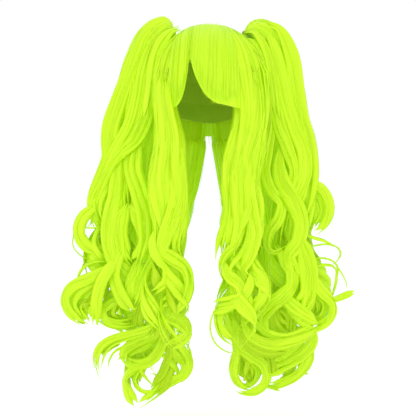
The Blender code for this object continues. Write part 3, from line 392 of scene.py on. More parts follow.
RIGHT_BACK_TRACED = (
    (7, (232, 316, -50), (238, 332, -54), (241, 346, -56), (252, 355, -60), (263, 364, -64),
     (267, 376, -68), (262, 387, -72), (249, 393, -76), (237, 391, -80), (229, 384, -82)),
    (5, (226, 310, -50), (230, 325, -54), (237, 339, -58), (238, 352, -62), (235, 364, -66),
     (235, 377, -70), (243, 387, -74), (255, 387, -76), (260, 377, -76)),
    (3, (240, 353, -62), (252, 361, -66), (258, 372, -70), (254, 382, -74), (244, 384, -76),
     (238, 376, -76)),
    (7, (314, 326, -50), (312, 342, -56), (302, 355, -62), (288, 364, -66), (273, 372, -68),
     (262, 374, -70)),
    (6, (312, 342, -62), (308, 359, -68), (299, 373, -74), (286, 381, -76), (272, 384, -76),
     (262, 380, -74)),
    (5, (304, 336, -56), (292, 350, -62), (277, 358, -66), (264, 362, -68)),
    (5, (292, 330, -54), (278, 345, -58), (262, 352, -62), (248, 352, -64)),
    (4, (300, 350, -68), (290, 362, -72), (278, 371, -76), (266, 377, -78)),
    (2, (304, 366, -74), (300, 372, -76), (309, 374, -78)),
    (2, (260, 384, -70), (269, 387, -72), (280, 391, -74)),
)

# %% [markdown]
# Behind the locks that show lie more locks, coloured a darker lime as painted shade, which close the gaps
# between the curls.

# %% Tables of the locks behind them
LEFT_PIGTAIL_UNDER = (
    (12, (112, 270, 10), (95, 288, 12), (82, 303, 10), (90, 318, 6)),
    (10, (125, 285, 14), (113, 300, 14), (110, 315, 12), (122, 328, 8)),
    (12, (140, 280, 16), (143, 300, 16), (140, 318, 12), (148, 336, 6)),
    (10, (165, 290, 20), (168, 310, 18), (160, 330, 10), (150, 346, 2)),
    (10, (102, 290, 4), (84, 300, 2), (80, 310, 0), (92, 320, 0)),
    (8, (122, 300, 6), (108, 312, 4), (112, 322, 2), (130, 322, 0)),
    (7, (122, 338, 4), (108, 346, 4), (103, 358, 2)),
    (7, (104, 312, 2), (116, 320, 0), (128, 324, 0), (142, 324, -2)),
)
RIGHT_PIGTAIL_UNDER = (
    (12, (285, 262, 16), (300, 285, 14), (312, 305, 10), (308, 324, 6)),
    (12, (262, 285, 16), (268, 305, 16), (275, 325, 12), (290, 338, 6)),
    (8, (312, 285, 10), (320, 300, 10), (318, 318, 6)),
    (9, (276, 296, 10), (288, 308, 10), (293, 320, 8), (296, 334, 4)),
    (8, (240, 330, -20), (252, 346, -30), (268, 352, -40), (290, 348, -40)),
    (9, (272, 312, -4), (284, 324, -6), (296, 331, -8), (310, 332, -8)),
    (8, (302, 300, 2), (310, 312, 0), (315, 322, -2)),
)
LEFT_FACE_UNDER = (
    (5, (170, 66, 70), (169, 80, 74), (170, 94, 79), (172, 110, 84), (175, 128, 90)),
)
RIGHT_FACE_UNDER = (
    (5, (250, 66, 66), (252, 80, 70), (252, 94, 76), (250, 110, 82), (247, 128, 90)),
)
LEFT_BACK_UNDER = (
    (10, (158, 320, -60), (150, 345, -66), (142, 365, -70), (140, 388, -74)),
    (8, (170, 335, -60), (172, 355, -66), (165, 375, -72), (150, 395, -76)),
    (7, (160, 335, -70), (150, 350, -74), (135, 358, -76), (130, 372, -78), (136, 392, -80)),
)
RIGHT_BACK_UNDER = (
    (12, (235, 310, -60), (245, 335, -66), (252, 360, -72), (250, 384, -76)),
    (12, (262, 325, -60), (270, 345, -66), (278, 365, -72), (280, 382, -74)),
    (10, (295, 325, -62), (298, 345, -68), (290, 368, -74)),
    (9, (234, 350, -76), (243, 364, -80), (249, 378, -82), (246, 388, -82)),
    (8, (263, 352, -76), (259, 366, -80), (250, 379, -82), (240, 387, -82)),
    (9, (240, 340, -78), (256, 350, -80), (262, 366, -82), (262, 382, -82)),
    (8, (280, 350, -84), (292, 360, -84), (288, 372, -84), (276, 378, -84)),
    (6, (300, 345, -80), (302, 358, -80), (296, 370, -80)),
)

# %% [markdown]
# Where the combed crown meets a pigtail lies a narrow lock in the darkest lime, a painted shadow. It draws
# the line between them.

# %% Tables of the shaded locks beside the roots
LEFT_SHADED = (
    (1.8, (182, 31, 24), (172, 42, 42), (164, 55, 52), (159, 72, 55), (157, 92, 61), (156, 116, 76),
     (158, 142, 94)),
)
RIGHT_SHADED = (
    (1.8, (243, 34, 24), (253, 46, 34), (260, 60, 43), (266, 80, 57), (269, 104, 71), (269, 128, 83),
     (266, 150, 95)),
)

# %% [markdown]
# ## Reading the tables
#
# A smooth curve through a table's rows gives any section between them. Numpy reads many places along
# the curve at once, which keeps thousands of strands quick to lay.

# %% Smooth curves through the tables
BACKWARDS = np.array((0.0, 1.0, 0.0))


def spread(rows, column, shares):
    """A table's column at shares from 0 to 1 along its rows, on a smooth curve."""
    values = np.array([row[column] for row in rows], float)
    place = np.clip(shares, 0.0, 1.0) * (len(values) - 1)
    first = np.minimum(place.astype(int), len(values) - 2)
    t = place - first
    before = values[np.maximum(first - 1, 0)]
    here, there = values[first], values[first + 1]
    after = values[np.minimum(first + 2, len(values) - 1)]
    straight = 2 * here + (there - before) * t
    bend = (2 * before - 5 * here + 4 * there - after) * t**2
    twist = (3 * here - before - 3 * there + after) * t**3
    return 0.5 * (straight + bend + twist)


def eased(low, high, values):
    """0 below low, 1 above high, and a smooth step between."""
    share = np.clip((values - low) / (high - low), 0.0, 1.0)
    return share * share * (3 - 2 * share)


def edge_polar(rows, azimuths):
    """An edge's angle down from the top, at azimuths round the head, alike on both sides."""
    around = np.abs((azimuths + 180.0) % 360.0 - 180.0)
    places = np.array([row[0] for row in rows], float)
    depths = np.array([row[1] for row in rows], float)
    index = np.clip(np.searchsorted(places, around, side="right") - 1, 0, len(places) - 2)
    share = (around - places[index]) / (places[index + 1] - places[index])
    return depths[index] + (depths[index + 1] - depths[index]) * share * share * (3 - 2 * share)


def unit(vectors):
    return vectors / np.maximum(np.linalg.norm(vectors, axis=-1, keepdims=True), 1e-12)


print("half width of the crown", CROWN_HALF_WIDTH, "drop of the hair", HAIR_DROP)

# %% [markdown]
# The crown is a dome. A place on it is two angles, round from the face and down from the top, and a
# height above its surface. Below its widest line the crown hair hangs straight down.

# %% Places on the crown
def dome_point(azimuths, polars, heights=0.0, dome=CROWN_OUTSIDE):
    """Places some distance out from a dome: the outside of the crown hair, or the cap's inner face."""
    half_width, half_depth, dome_height, top = dome
    around, down = np.radians(azimuths), np.radians(polars)
    hanging = np.maximum(down - math.pi / 2, 0)
    ring = np.sin(np.minimum(down, math.pi / 2))
    drop = 1 - np.cos(np.minimum(down, math.pi / 2)) + hanging
    x = (half_width + heights) * ring * np.sin(around)
    y = -(half_depth + heights) * ring * np.cos(around)
    return np.stack((x, y, top + heights - (dome_height + heights) * drop), axis=-1)


def dome_normal(azimuths, polars):
    around, down = np.radians(azimuths), np.radians(np.minimum(polars, 90.0))
    x = np.sin(down) * np.sin(around) / CROWN_HALF_WIDTH
    y = -np.sin(down) * np.cos(around) / CROWN_HALF_DEPTH
    return unit(np.stack((x, y, np.cos(down) / CROWN_DOME_HEIGHT), axis=-1))


def polar_at(heights):
    drop = (CROWN_TOP - heights) / CROWN_DOME_HEIGHT
    over = np.degrees(np.arccos(1 - np.clip(drop, 0, 1)))
    return np.where(drop <= 1, over, 90 + np.degrees(drop - 1))


# %% [markdown]
# Hair that starts high on the head lies on the crown and never inside it. Where a lock's line would
# pass inside the crown's shell, it is moved straight out to the shell's outside.

# %% Keeping locks out of the crown
def outside_crown(points, gap=0.002):
    polar = polar_at(points[:, 2])
    ring = np.sin(np.radians(np.clip(polar, 4, 90)))
    flat = np.stack((points[:, 0] / CROWN_HALF_WIDTH, points[:, 1] / CROWN_HALF_DEPTH), -1)
    reach = np.linalg.norm(flat, axis=1) / ring
    azimuth = np.degrees(np.arctan2(flat[:, 0], -flat[:, 1]))
    covered = 1 - eased(0.0, 12.0, polar - edge_polar(CROWN_EDGE, azimuth))
    needed = 1 + gap / CROWN_HALF_WIDTH
    push = 1 + (np.maximum(needed / np.maximum(reach, 0.3), 1) - 1) * covered
    moved = points.copy()
    moved[:, :2] = moved[:, :2] * push[:, None]
    return moved


# %% [markdown]
# A traced lock has to stay where the photo shows it, so it moves straight towards the viewer instead.

# %% Keeping traced locks in front of the crown
TRACED_GAP = 0.004


def before_crown(points):
    ring = np.sin(np.radians(np.clip(polar_at(points[:, 2]), 4, 90)))
    share = np.clip(np.abs(points[:, 0]) / (CROWN_HALF_WIDTH * ring), 0, 1)
    surface = -CROWN_HALF_DEPTH * ring * np.sqrt(1 - share**2)
    azimuth = np.degrees(np.arctan2(points[:, 0], np.maximum(-surface, 1e-4)))
    covered = polar_at(points[:, 2]) < edge_polar(CROWN_EDGE, azimuth) + 8.0
    moved = points.copy()
    ahead = np.minimum(points[:, 1], surface - TRACED_GAP)
    moved[:, 1] = np.where(covered & (share < 0.995) & (points[:, 1] < 0.02), ahead, points[:, 1])
    return moved


# %% [markdown]
# ## Tools for materials
#
# Every surface gets a material made of nodes, with no picture in it. These few functions add a node, a
# step of arithmetic, a group of nodes, a new material and a mottle of two colours.

# %% Small tools for nodes
def add_node(tree, kind, place, **settings):
    node = tree.nodes.new(kind)
    node.location = place
    for name, value in settings.items():
        setattr(node, name, value)
    return node


def add_math(tree, operation, place, first, second, **settings):
    """Adds arithmetic on two inputs, each a number or another node's output."""
    node = add_node(tree, "ShaderNodeMath", place, operation=operation, **settings)
    for socket, value in zip(node.inputs, (first, second)):
        if isinstance(value, float):
            socket.default_value = value
        else:
            tree.links.new(value, socket)
    return node.outputs["Value"]


def make_group(name, inputs, outputs):
    """Makes a group of nodes with number sockets, and gives its tree, its start and its end."""
    tree = bpy.data.node_groups.new(name, "ShaderNodeTree")
    for label, value in inputs:
        socket = tree.interface.new_socket(name=label, in_out="INPUT", socket_type="NodeSocketFloat")
        socket.default_value = value
    for label in outputs:
        tree.interface.new_socket(name=label, in_out="OUTPUT", socket_type="NodeSocketFloat")
    return tree, add_node(tree, "NodeGroupInput", (-1100, 0)), add_node(tree, "NodeGroupOutput", (700, 0))


def new_material(name):
    material = bpy.data.materials.new(name)
    material.use_nodes = True
    return material, material.node_tree, material.node_tree.nodes["Principled BSDF"]


def add_mottle(tree, scale, dark, light):
    """Mixes two colours by a fine noise, and gives the mixed colour's output."""
    noise = add_node(tree, "ShaderNodeTexNoise", (-700, -200))
    noise.inputs["Scale"].default_value = scale
    mix = add_node(tree, "ShaderNodeMix", (-450, -100), data_type="RGBA")
    mix.inputs[6].default_value = (*dark, 1.0)
    mix.inputs[7].default_value = (*light, 1.0)
    tree.links.new(noise.outputs["Fac"], mix.inputs[0])
    return mix.outputs[2]


# %% [markdown]
# ## The neon hair
#
# Dyed synthetic hair is glossy and glows slightly, because its fluorescent dye turns part of the light
# it takes in into green light. Close up it is many fine fibres, each a little lighter or darker than
# the next. A group of nodes makes these streaks. It reads the UV map, where U runs across the strands
# and V along them, stretches a noise along V, and gives a shade for colour and a height for relief.

# %% Streaks that run along the strands
def make_streak_group():
    inputs = (("Fine", 620.0), ("Clumps", 190.0), ("Contrast", 1.0))
    tree, start, end = make_group("strand_streaks", inputs, ("Shade", "Height"))
    uv = add_node(tree, "ShaderNodeUVMap", (-900, 300), uv_map="strands")
    layers = []
    for row, (name, along) in enumerate((("Fine", 5.0), ("Clumps", 3.0))):
        size = add_node(tree, "ShaderNodeCombineXYZ", (-700, -200 * row))
        size.inputs["Y"].default_value = along
        stretch = add_node(tree, "ShaderNodeVectorMath", (-500, -200 * row), operation="MULTIPLY")
        noise = add_node(tree, "ShaderNodeTexNoise", (-300, -200 * row), noise_dimensions="2D")
        noise.inputs["Scale"].default_value = 1.0
        noise.inputs["Detail"].default_value = 2.0
        tree.links.new(start.outputs[name], size.inputs["X"])
        tree.links.new(uv.outputs["UV"], stretch.inputs[0])
        tree.links.new(size.outputs["Vector"], stretch.inputs[1])
        tree.links.new(stretch.outputs["Vector"], noise.inputs["Vector"])
        layers.append(noise.outputs["Fac"])
    fine, clumps = layers
    both = add_math(tree, "ADD", (-80, 0), fine, clumps)
    centred = add_math(tree, "SUBTRACT", (80, 0), both, 1.0)
    stronger = add_math(tree, "MULTIPLY", (240, 0), centred, start.outputs["Contrast"])
    shade = add_math(tree, "ADD", (400, 0), stronger, 0.5, use_clamp=True)
    tree.links.new(shade, end.inputs["Shade"])
    tree.links.new(fine, end.inputs["Height"])
    return tree


streaks = make_streak_group()
print("streak group sockets", [item.name for item in streaks.interface.items_tree])

# %% [markdown]
# The hair material mixes a deep and a light lime by the streaks' shade. A little emission of the same lime
# is painted light: it stands for the dye's fluorescence and lifts the hair's shade, so that shaded hair
# stays vivid instead of turning grey green. Hair that is combed flat has its own pair of limes. Hair inside
# a body gets a darker pair as painted shade, and the narrow locks in the gaps a darker pair still as painted
# shadow.

# %% The hair material
def make_hair_material(name, deep, light, painted_glow, contrast):
    material, tree, shader = new_material(name)
    group = add_node(tree, "ShaderNodeGroup", (-700, 100), node_tree=streaks)
    group.inputs["Contrast"].default_value = contrast
    mix = add_node(tree, "ShaderNodeMix", (-400, 200), data_type="RGBA")
    mix.inputs[6].default_value = (*deep, 1.0)
    mix.inputs[7].default_value = (*light, 1.0)
    bump = add_node(tree, "ShaderNodeBump", (-400, -200))
    bump.inputs["Strength"].default_value = 0.5
    bump.inputs["Distance"].default_value = 0.0006
    tree.links.new(group.outputs["Shade"], mix.inputs[0])
    tree.links.new(mix.outputs[2], shader.inputs["Base Color"])
    tree.links.new(mix.outputs[2], shader.inputs["Emission Color"])
    tree.links.new(group.outputs["Height"], bump.inputs["Height"])
    tree.links.new(bump.outputs["Normal"], shader.inputs["Normal"])
    # Painted light: this emission lifts the shade and stands for the dye's fluorescence.
    shader.inputs["Emission Strength"].default_value = painted_glow
    shader.inputs["Roughness"].default_value = 0.42
    shader.inputs["Specular IOR Level"].default_value = 0.28
    return material


hair = make_hair_material("neon_hair", (0.47, 0.72, 0.003), (0.65, 0.95, 0.020), 0.12, 1.2)
flat_hair = make_hair_material("neon_hair_combed", (0.51, 0.78, 0.005), (0.64, 0.94, 0.022), 0.12, 1.5)
# Painted shade: a darker copy of the lime for hair inside the bodies and behind the curls.
inner_hair_painted_shade = make_hair_material("neon_hair_inside_painted_shade", (0.40, 0.62, 0.002), (0.52, 0.78, 0.006), 0.12, 0.9)
# Painted shadow: the darkest copy, for the narrow locks in the gaps beside the pigtail roots.
painted_shadow_hair = make_hair_material("neon_hair_shaded", (0.33, 0.56, 0.001), (0.42, 0.68, 0.003), 0.13, 1.0)
print("hair materials", hair.name, inner_hair_painted_shade.name, flat_hair.name, painted_shadow_hair.name)

# %% [markdown]
# ## Locks
#
# Hair hangs together in locks. A lock here is a line of points with a width and a thickness at each,
# and two directions that say how its ribbon shape is turned. Its core is a grooved tube. Fine strands
# are laid over the core as narrow ribbons, so the lock has the broken edge and loose ends of real hair.
# Particle hair would give finer strands, but it isn't a mesh, and these strands have to be.

# %% The core of a lock
class Lock:
    """A line of hair with its ribbon directions and its half width and half thickness."""

    def __init__(self, points, wide, thin, half_width, half_thickness):
        self.points = points
        self.wide = unit(wide)
        self.thin = unit(thin)
        self.half_width = half_width
        self.half_thickness = half_thickness
        steps = np.linalg.norm(np.diff(points, axis=0), axis=1)
        self.length = np.concatenate(([0.0], np.cumsum(steps)))


class Mesh:
    """Collects vertices, four-sided faces and UVs, and turns them into one piece."""

    def __init__(self):
        self.points, self.faces, self.uvs, self.slots = [], [], [], []
        self.count = 0

    def add(self, points, faces, uvs, slot=0):
        self.points.append(points)
        self.faces.append(faces + self.count)
        self.uvs.append(uvs)
        self.slots.append(np.full(len(faces), slot))
        self.count += len(points)


def grid_faces(rows, columns, closed):
    """Four-sided faces over a grid of points, closed round its columns or open."""
    last = columns if closed else columns - 1
    i, j = np.meshgrid(np.arange(rows - 1), np.arange(last), indexing="ij")
    i, j = i.ravel(), j.ravel()
    k = (j + 1) % columns
    return np.stack((i * columns + j, i * columns + k, (i + 1) * columns + k, (i + 1) * columns + j), 1)


def grid_uvs(u, v):
    """UVs for each corner of grid_faces, from U at each column edge and V at each row."""
    i, j = np.meshgrid(np.arange(len(v) - 1), np.arange(len(u) - 1), indexing="ij")
    i, j = i.ravel(), j.ravel()
    corners = ((i, j), (i, j + 1), (i + 1, j + 1), (i + 1, j))
    return np.stack([np.stack((u[b], v[a]), 1) for a, b in corners], 1)


def add_core(mesh, lock, rng, around, groove, slot):
    """Adds a closed grooved tube along a lock."""
    rows = len(lock.points)
    angles = 2 * np.pi * np.arange(around) / around
    share = np.linspace(0, 1, rows)[:, None]
    depth = rng.uniform(-1, 1, around)
    drift = rng.uniform(-1, 1, around)
    swell = 1 + groove * (depth + drift * np.sin(2 * np.pi * share * 1.5 + depth * 3))
    across = np.cos(angles) * lock.half_width[:, None] * (1 + 0.3 * (swell - 1))
    through = np.sin(angles) * lock.half_thickness[:, None] * swell
    points = lock.points[:, None, :] + lock.wide[:, None, :] * across[..., None]
    points = points + lock.thin[:, None, :] * through[..., None]
    u = np.linspace(0, 2.2 * lock.half_width.max(), around + 1) + rng.uniform(0, 5)
    v = lock.length + rng.uniform(0, 5)
    mesh.add(points.reshape(-1, 3), grid_faces(rows, around, True), grid_uvs(u, v), slot)


# %% [markdown]
# A strand is a narrow ribbon, flat to the surface that it lies on. Each has a width and a place in the
# streaks of its own.

# %% Ribbons
def add_ribbons(mesh, points, across, taper, width, v, rng, slot=0):
    """Adds a ribbon along each row of points, which is an array of ribbons by points."""
    count, rows = points.shape[:2]
    half = (width * 0.5 * rng.uniform(0.7, 1.3, count)[:, None] * taper[None, :])[..., None]
    edges = np.stack((points - across * half, points + across * half), 2)
    one = grid_faces(rows, 2, False)
    faces = (one[None] + (np.arange(count) * rows * 2)[:, None, None]).reshape(-1, 4)
    uvs = [grid_uvs(np.array((0.0, width)) + offset, v) for offset in rng.uniform(0, 20, count)]
    mesh.add(edges.reshape(-1, 3), faces, np.concatenate(uvs), slot)


# %% [markdown]
# Each strand keeps its own place round the lock and drifts a little as it runs down. Near the tip the
# strands thin out and end at different lengths.

# %% Strands over a lock
STRAND_WIDTH, STRAND_LIFT, STRAND_ENDS = 0.0010, 1.04, (0.9, 1.0)


def add_strands(mesh, lock, rng, count, stray, slot):
    """Adds narrow ribbons that follow a lock's surface, each with half as many rows as the lock."""
    lock_rows = len(lock.points)
    rows = max(12, int(lock_rows * 0.55))
    line = np.linspace(0, 1, rows)
    start = rng.uniform(0.0, 0.10, count)[:, None]
    end = rng.uniform(*STRAND_ENDS, count)[:, None]
    share = start + (end - start) * line[None, :]
    place = share * (lock_rows - 1)
    low = np.minimum(place.astype(int), lock_rows - 2)
    t = place - low

    def along(values):
        weight = t[..., None] if values.ndim == 2 else t
        return values[low] * (1 - weight) + values[low + 1] * weight

    angle = rng.uniform(0, 2 * np.pi, count)[:, None]
    angle = angle + rng.uniform(-0.9, 0.9, count)[:, None] * share
    wander = rng.uniform(0, 2 * np.pi, count)[:, None]
    angle = angle + 0.22 * np.sin(2 * np.pi * share * 2.3 + wander)
    loose = rng.exponential(stray, count)[:, None] * (0.25 + share)
    reach = STRAND_LIFT + loose * (0.6 + 0.4 * np.sin(2 * np.pi * share * 1.7 + wander * 2))
    half_width, half_thickness = along(lock.half_width), along(lock.half_thickness)
    wide, thin = along(lock.wide), along(lock.thin)
    across = np.cos(angle) * half_width * reach
    through = np.sin(angle) * half_thickness * (reach + 0.4 * loose)
    points = along(lock.points) + wide * across[..., None] + thin * through[..., None]
    slope = wide * (-np.sin(angle) * half_width)[..., None]
    slope = unit(slope + thin * (np.cos(angle) * half_thickness)[..., None])
    taper = np.minimum(1, 6 * line + 0.3) * np.minimum(1, 3.2 * (1 - line) + 0.12)
    v = np.interp(line, np.linspace(0, 1, lock_rows), lock.length)
    add_ribbons(mesh, points, slope, taper, STRAND_WIDTH, v, rng, slot)


# %% [markdown]
# A lock is made of several finer locks side by side. They part near the tip and end at different
# lengths, which frays the end of every curl.

# %% Finer locks side by side
PARTING = 0.45
AROUND_A_PART, PART_GROOVE = 8, 0.12


def parts_of(lock, rng, count):
    rows = len(lock.points)
    t = np.linspace(0, 1, rows)
    late = eased(0.55, 1.0, t)
    parts = []
    for k in range(count):
        place = (2 * k + 1) / count - 1 + rng.uniform(-0.5, 0.5) / count
        across = place * (0.74 + 0.12 * np.sin(2 * np.pi * 1.3 * t + rng.uniform(0, 2 * np.pi)))
        across = across + rng.normal(0, PARTING) * late
        through = rng.uniform(-0.25, 0.3) + rng.normal(0, 1.4 * PARTING) * late
        last = int(rows * rng.uniform(0.88, 1.0))
        points = lock.points + lock.wide * (across * lock.half_width)[:, None]
        points = points + lock.thin * (through * lock.half_thickness)[:, None]
        turn = rng.uniform(-0.4, 0.4) + rng.normal(0, 0.5) * late
        wide = lock.wide * np.cos(turn)[:, None] + lock.thin * np.sin(turn)[:, None]
        thin = lock.thin * np.cos(turn)[:, None] - lock.wide * np.sin(turn)[:, None]
        tip = 1 - 0.85 * eased(0.84, 1.0, np.linspace(0, 1, last))
        tip = tip * (0.1 + 0.9 * eased(0.0, 0.10, t[:last]))
        half = lock.half_width[:last] * 1.8 / (count + 0.4) * rng.uniform(0.7, 1.2) * tip
        deep = np.minimum(lock.half_thickness[:last] * 0.9 * tip, half)
        parts.append(Lock(points[:last], wide[:last], thin[:last], half, deep))
    return parts


def add_lock(mesh, lock, rng, count, strands, slot=0, stray=0.12):
    for part in parts_of(lock, rng, count):
        add_core(mesh, part, rng, AROUND_A_PART, PART_GROOVE, slot)
        add_strands(mesh, part, rng, max(2, strands // count), stray, slot)


# %% [markdown]
# A finished piece is one mesh from its arrays, which is much quicker than adding faces one by one. It
# rides on the wig's one body, and stands for the solid that it covers.

# %% Turning arrays into a piece
def finish_piece(name, mesh, materials, replaced=()):
    points = np.concatenate(mesh.points)
    faces = np.concatenate(mesh.faces)
    uvs = np.concatenate(mesh.uvs)
    data = bpy.data.meshes.new(name)
    data.vertices.add(len(points))
    data.vertices.foreach_set("co", points.astype(np.float32).ravel())
    data.loops.add(faces.size)
    data.loops.foreach_set("vertex_index", faces.astype(np.int32).ravel())
    data.polygons.add(len(faces))
    data.polygons.foreach_set("loop_start", np.arange(0, faces.size, 4, dtype=np.int32))
    data.polygons.foreach_set("material_index", np.concatenate(mesh.slots).astype(np.int32))
    data.update(calc_edges=True)
    layer = data.uv_layers.new(name="strands")
    layer.data.foreach_set("uv", uvs.astype(np.float32).ravel())
    data.shade_smooth()
    for material in materials:
        data.materials.append(material)
    piece = bpy.data.objects.new(name, data)
    bpy.context.scene.collection.objects.link(piece)
    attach(piece, "root")
    if replaced:
        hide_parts(*replaced)
    print(name, "triangles", 2 * len(faces))
    return piece


# %% [markdown]
# ## Where the long hair runs
#
# Each body of hair has a centre line, and at each place along it a wide arm and a deep arm that span
# its section. A lock in the body keeps to one direction in that section, so the locks follow every
# bulge of the solid, fan out over the pigtail's arch and draw together where it narrows.

# %% The bodies' sections
def fall_sections(rows, shares):
    """Centres, wide arms and deep arms of a face lock or of back hair."""

    def centres(places):
        x = spread(rows, 0, places) * CROWN_HALF_WIDTH
        y = spread(rows, 1, places) * CROWN_HALF_DEPTH
        z = CROWN_TOP - spread(rows, 2, places) * HAIR_DROP
        return np.stack((x, y, z), -1)

    along = unit(centres(np.minimum(shares + 0.03, 1)) - centres(np.maximum(shares - 0.03, 0)))
    wide = unit(np.cross(along, BACKWARDS))
    deep = unit(np.cross(wide, along))
    half_width = spread(rows, 3, shares) * FALL_HALF_WIDTH
    half_depth = spread(rows, 4, shares) * FALL_HALF_WIDTH
    return centres(shares), wide * half_width[:, None], deep * half_depth[:, None]


def pigtail_root(side):
    seat = dome_point(side * PIGTAIL_AZIMUTH, PIGTAIL_POLAR)
    return seat + dome_normal(side * PIGTAIL_AZIMUTH, PIGTAIL_POLAR) * (PAD_HEIGHT + PAD_THICKNESS / 2)


def pigtail_sections(side, rows, shares):
    """Centres, wide arms and deep arms of a pigtail, from its two edges in the front view."""
    root = pigtail_root(side)
    back = spread(rows, 4, shares) * CROWN_HALF_DEPTH

    def edge(out_column, height_column):
        heights = [row[height_column] for row in rows]
        metres = [(height * (PIGTAIL_RISE if height > 0 else HAIR_DROP),) for height in heights]
        z = root[2] + spread(metres, 0, shares)
        x = root[0] + side * spread(rows, out_column, shares) * PIGTAIL_SPREAD
        return np.stack((x, back, z), -1)

    inner, outer = edge(0, 1), edge(2, 3)
    deep = np.zeros_like(inner)
    deep[:, 1] = spread(rows, 5, shares) * PIGTAIL_HALF_DEPTH
    return (inner + outer) / 2, (outer - inner) / 2, deep


print("pigtail roots", pigtail_root(-1).round(4), pigtail_root(1).round(4))

# %% [markdown]
# Locks in a body start flat and smooth. Further down the set of the curl shows: each lock sways from
# side to side more and more, and its ribbon turns with the sway.

# %% Locks that follow a body
LOCK_POINTS = 40


def body_lock(sections, rng, angle, reach, span, width_share, sway, turns, thickness, fan):
    """A lock in a body of hair. Angle and reach place it in the section, span is its run of shares."""
    angle = (angle + np.pi) % (2 * np.pi) - np.pi
    shares = np.linspace(span[0], span[1], LOCK_POINTS)
    centres, wide_arm, deep_arm = sections(shares)
    half_width = np.linalg.norm(wide_arm, axis=1)
    half_depth = np.linalg.norm(deep_arm, axis=1)
    wide, deep = unit(wide_arm), unit(deep_arm)
    turned = angle * (1 - fan * (1 - eased(0.0, 0.35, shares)))
    cos, sin = np.cos(turned)[:, None], np.sin(turned)[:, None]
    snug = reach * (1 - 0.5 * (fan > 0) * (1 - eased(0.0, 0.08, shares)))[:, None]
    points = centres + wide_arm * cos * snug + deep_arm * sin * snug
    out = unit(wide * cos / half_width[:, None] + deep * sin / half_depth[:, None])
    side = unit(-wide * sin * half_width[:, None] + deep * cos * half_depth[:, None])
    phase = angle + rng.uniform(-0.6, 0.6)
    wave = phase + 2 * np.pi * turns * shares
    grown = sway * eased(0.25, 0.95, shares)
    points = points + side * (grown * np.cos(wave))[:, None]
    points = points + out * (0.5 * grown * np.sin(wave))[:, None]
    turn = 0.9 * eased(0.3, 1.0, shares) * np.sin(wave)
    ribbon = side * np.cos(turn)[:, None] + out * np.sin(turn)[:, None]
    face = out * np.cos(turn)[:, None] - side * np.sin(turn)[:, None]
    blunt = 0.3 if fan else 0.0
    ends = blunt + (1 - blunt) * eased(0.0, 0.12, shares - span[0])
    ends = ends * eased(-0.02, 0.22, span[1] - shares)
    girth = np.pi * (half_width + half_depth) * width_share * 0.5
    slim = 1 - 0.25 * eased(0.4, 1.0, shares)
    points = outside_crown(points, 0.001 + thickness * 0.5)
    half = girth * slim * (0.12 + 0.88 * ends)
    return Lock(points, ribbon, face, half, thickness * (0.15 + 0.85 * ends))


# %% [markdown]
# A curl leaves the body where the body's hair already runs, so its first stretch follows the body and
# then eases over to the curl's own coil.

# %% Locks that end in a curl
CURL_POINTS, LEAD_POINTS = 40, 14
LEAD_SHARE = 0.28


def curl_lock(sections, row, swing_share, phase_shift, width_share, stretch):
    start_x, start_drop, end_x, end_drop, back, swing, turns, phase, lift, width = row
    t = np.linspace(0, 1, CURL_POINTS)
    grown = eased(0.0, 0.6, t) * swing * swing_share * CURL_RADIUS
    angle = np.radians(phase + phase_shift + 360 * turns * t)
    x = (start_x + (end_x - start_x) * t) * CROWN_HALF_WIDTH
    z = CROWN_TOP - (start_drop + (end_drop - start_drop) * t * stretch) * HAIR_DROP
    y = np.full_like(x, back * CROWN_HALF_DEPTH)
    radial = np.stack((np.cos(angle), (1 - lift) * np.sin(angle), lift * np.sin(angle)), -1)
    coil = np.stack((x, y, z), -1) + radial * grown[:, None]
    shares = np.linspace(0, 1, 400)
    centres = sections(shares)[0]
    join = shares[np.argmin(np.abs(centres[:, 2] - z[0]) + 1.0 * (shares < 0.2))]
    centre, wide_join, deep_join = sections(np.array((join,)))
    offset = np.array((x[0], y[0], z[0])) - centre[0]
    a = np.dot(offset, unit(wide_join)[0]) / np.linalg.norm(wide_join)
    b = np.dot(offset, unit(deep_join)[0]) / np.linalg.norm(deep_join)
    size = max(math.hypot(a, b), 1e-6)
    a, b = a / size * min(size, 0.85), b / size * min(size, 0.85)
    lead_shares = np.linspace(max(join - LEAD_SHARE, 0.02), join, LEAD_POINTS + 1)[:-1]
    after_shares = np.minimum(join + (1 - join) * t, 1.0)
    body_shares = np.concatenate((lead_shares, after_shares))
    centres, wide_arm, deep_arm = sections(body_shares)
    body = centres + wide_arm * a + deep_arm * b
    own = np.concatenate((np.repeat(coil[:1], LEAD_POINTS, axis=0), coil))
    weight = np.concatenate((np.zeros(LEAD_POINTS), eased(0.0, 0.4, t)))[:, None]
    points = body * (1 - weight) + own * weight
    direction = unit(np.gradient(points, axis=0))
    out = np.concatenate((np.repeat(radial[:1], LEAD_POINTS, axis=0), radial))
    surface = unit(unit(wide_arm) * a + unit(deep_arm) * b + 1e-6)
    out = unit(surface * (1 - weight) + out * weight)
    wide = unit(np.cross(direction, out))
    thin = unit(np.cross(wide, direction))
    place = np.linspace(0, 1, len(points))
    half_width = CURL_HALF_WIDTH * width * width_share * (0.45 + 0.55 * eased(0.0, 0.4, place))
    half_width = half_width * (1 - 0.72 * eased(0.62, 1.0, place))
    flat = CURL_FLATNESS * (0.75 - 0.25 * place)
    return Lock(points, wide, thin, half_width, half_width * flat)


print("points in a lock", LOCK_POINTS, "and in a curl", LEAD_POINTS + CURL_POINTS)

# %% [markdown]
# A traced lock goes through its places on a smooth line. Its ribbon faces the viewer where it runs
# straight and turns edge on in each bend, as the ribbon of a coil does. The thinnest are single wisps.

# %% Locks traced on the photo
PIXEL = 0.00183
FRAME_PIXELS = 416
MIDDLE_PIXEL, TOP_PIXEL = 209.0, 31.5
CAMERA_DISTANCE = 3.0
WISP_PIXELS = 2.4
TRACED_STEP, BEND_RADIUS = 0.0055, 0.020
camera_place = (
    (FRAME_PIXELS / 2 - MIDDLE_PIXEL) * PIXEL,
    -CAMERA_DISTANCE,
    (TOP_PIXEL - FRAME_PIXELS / 2) * PIXEL,
)


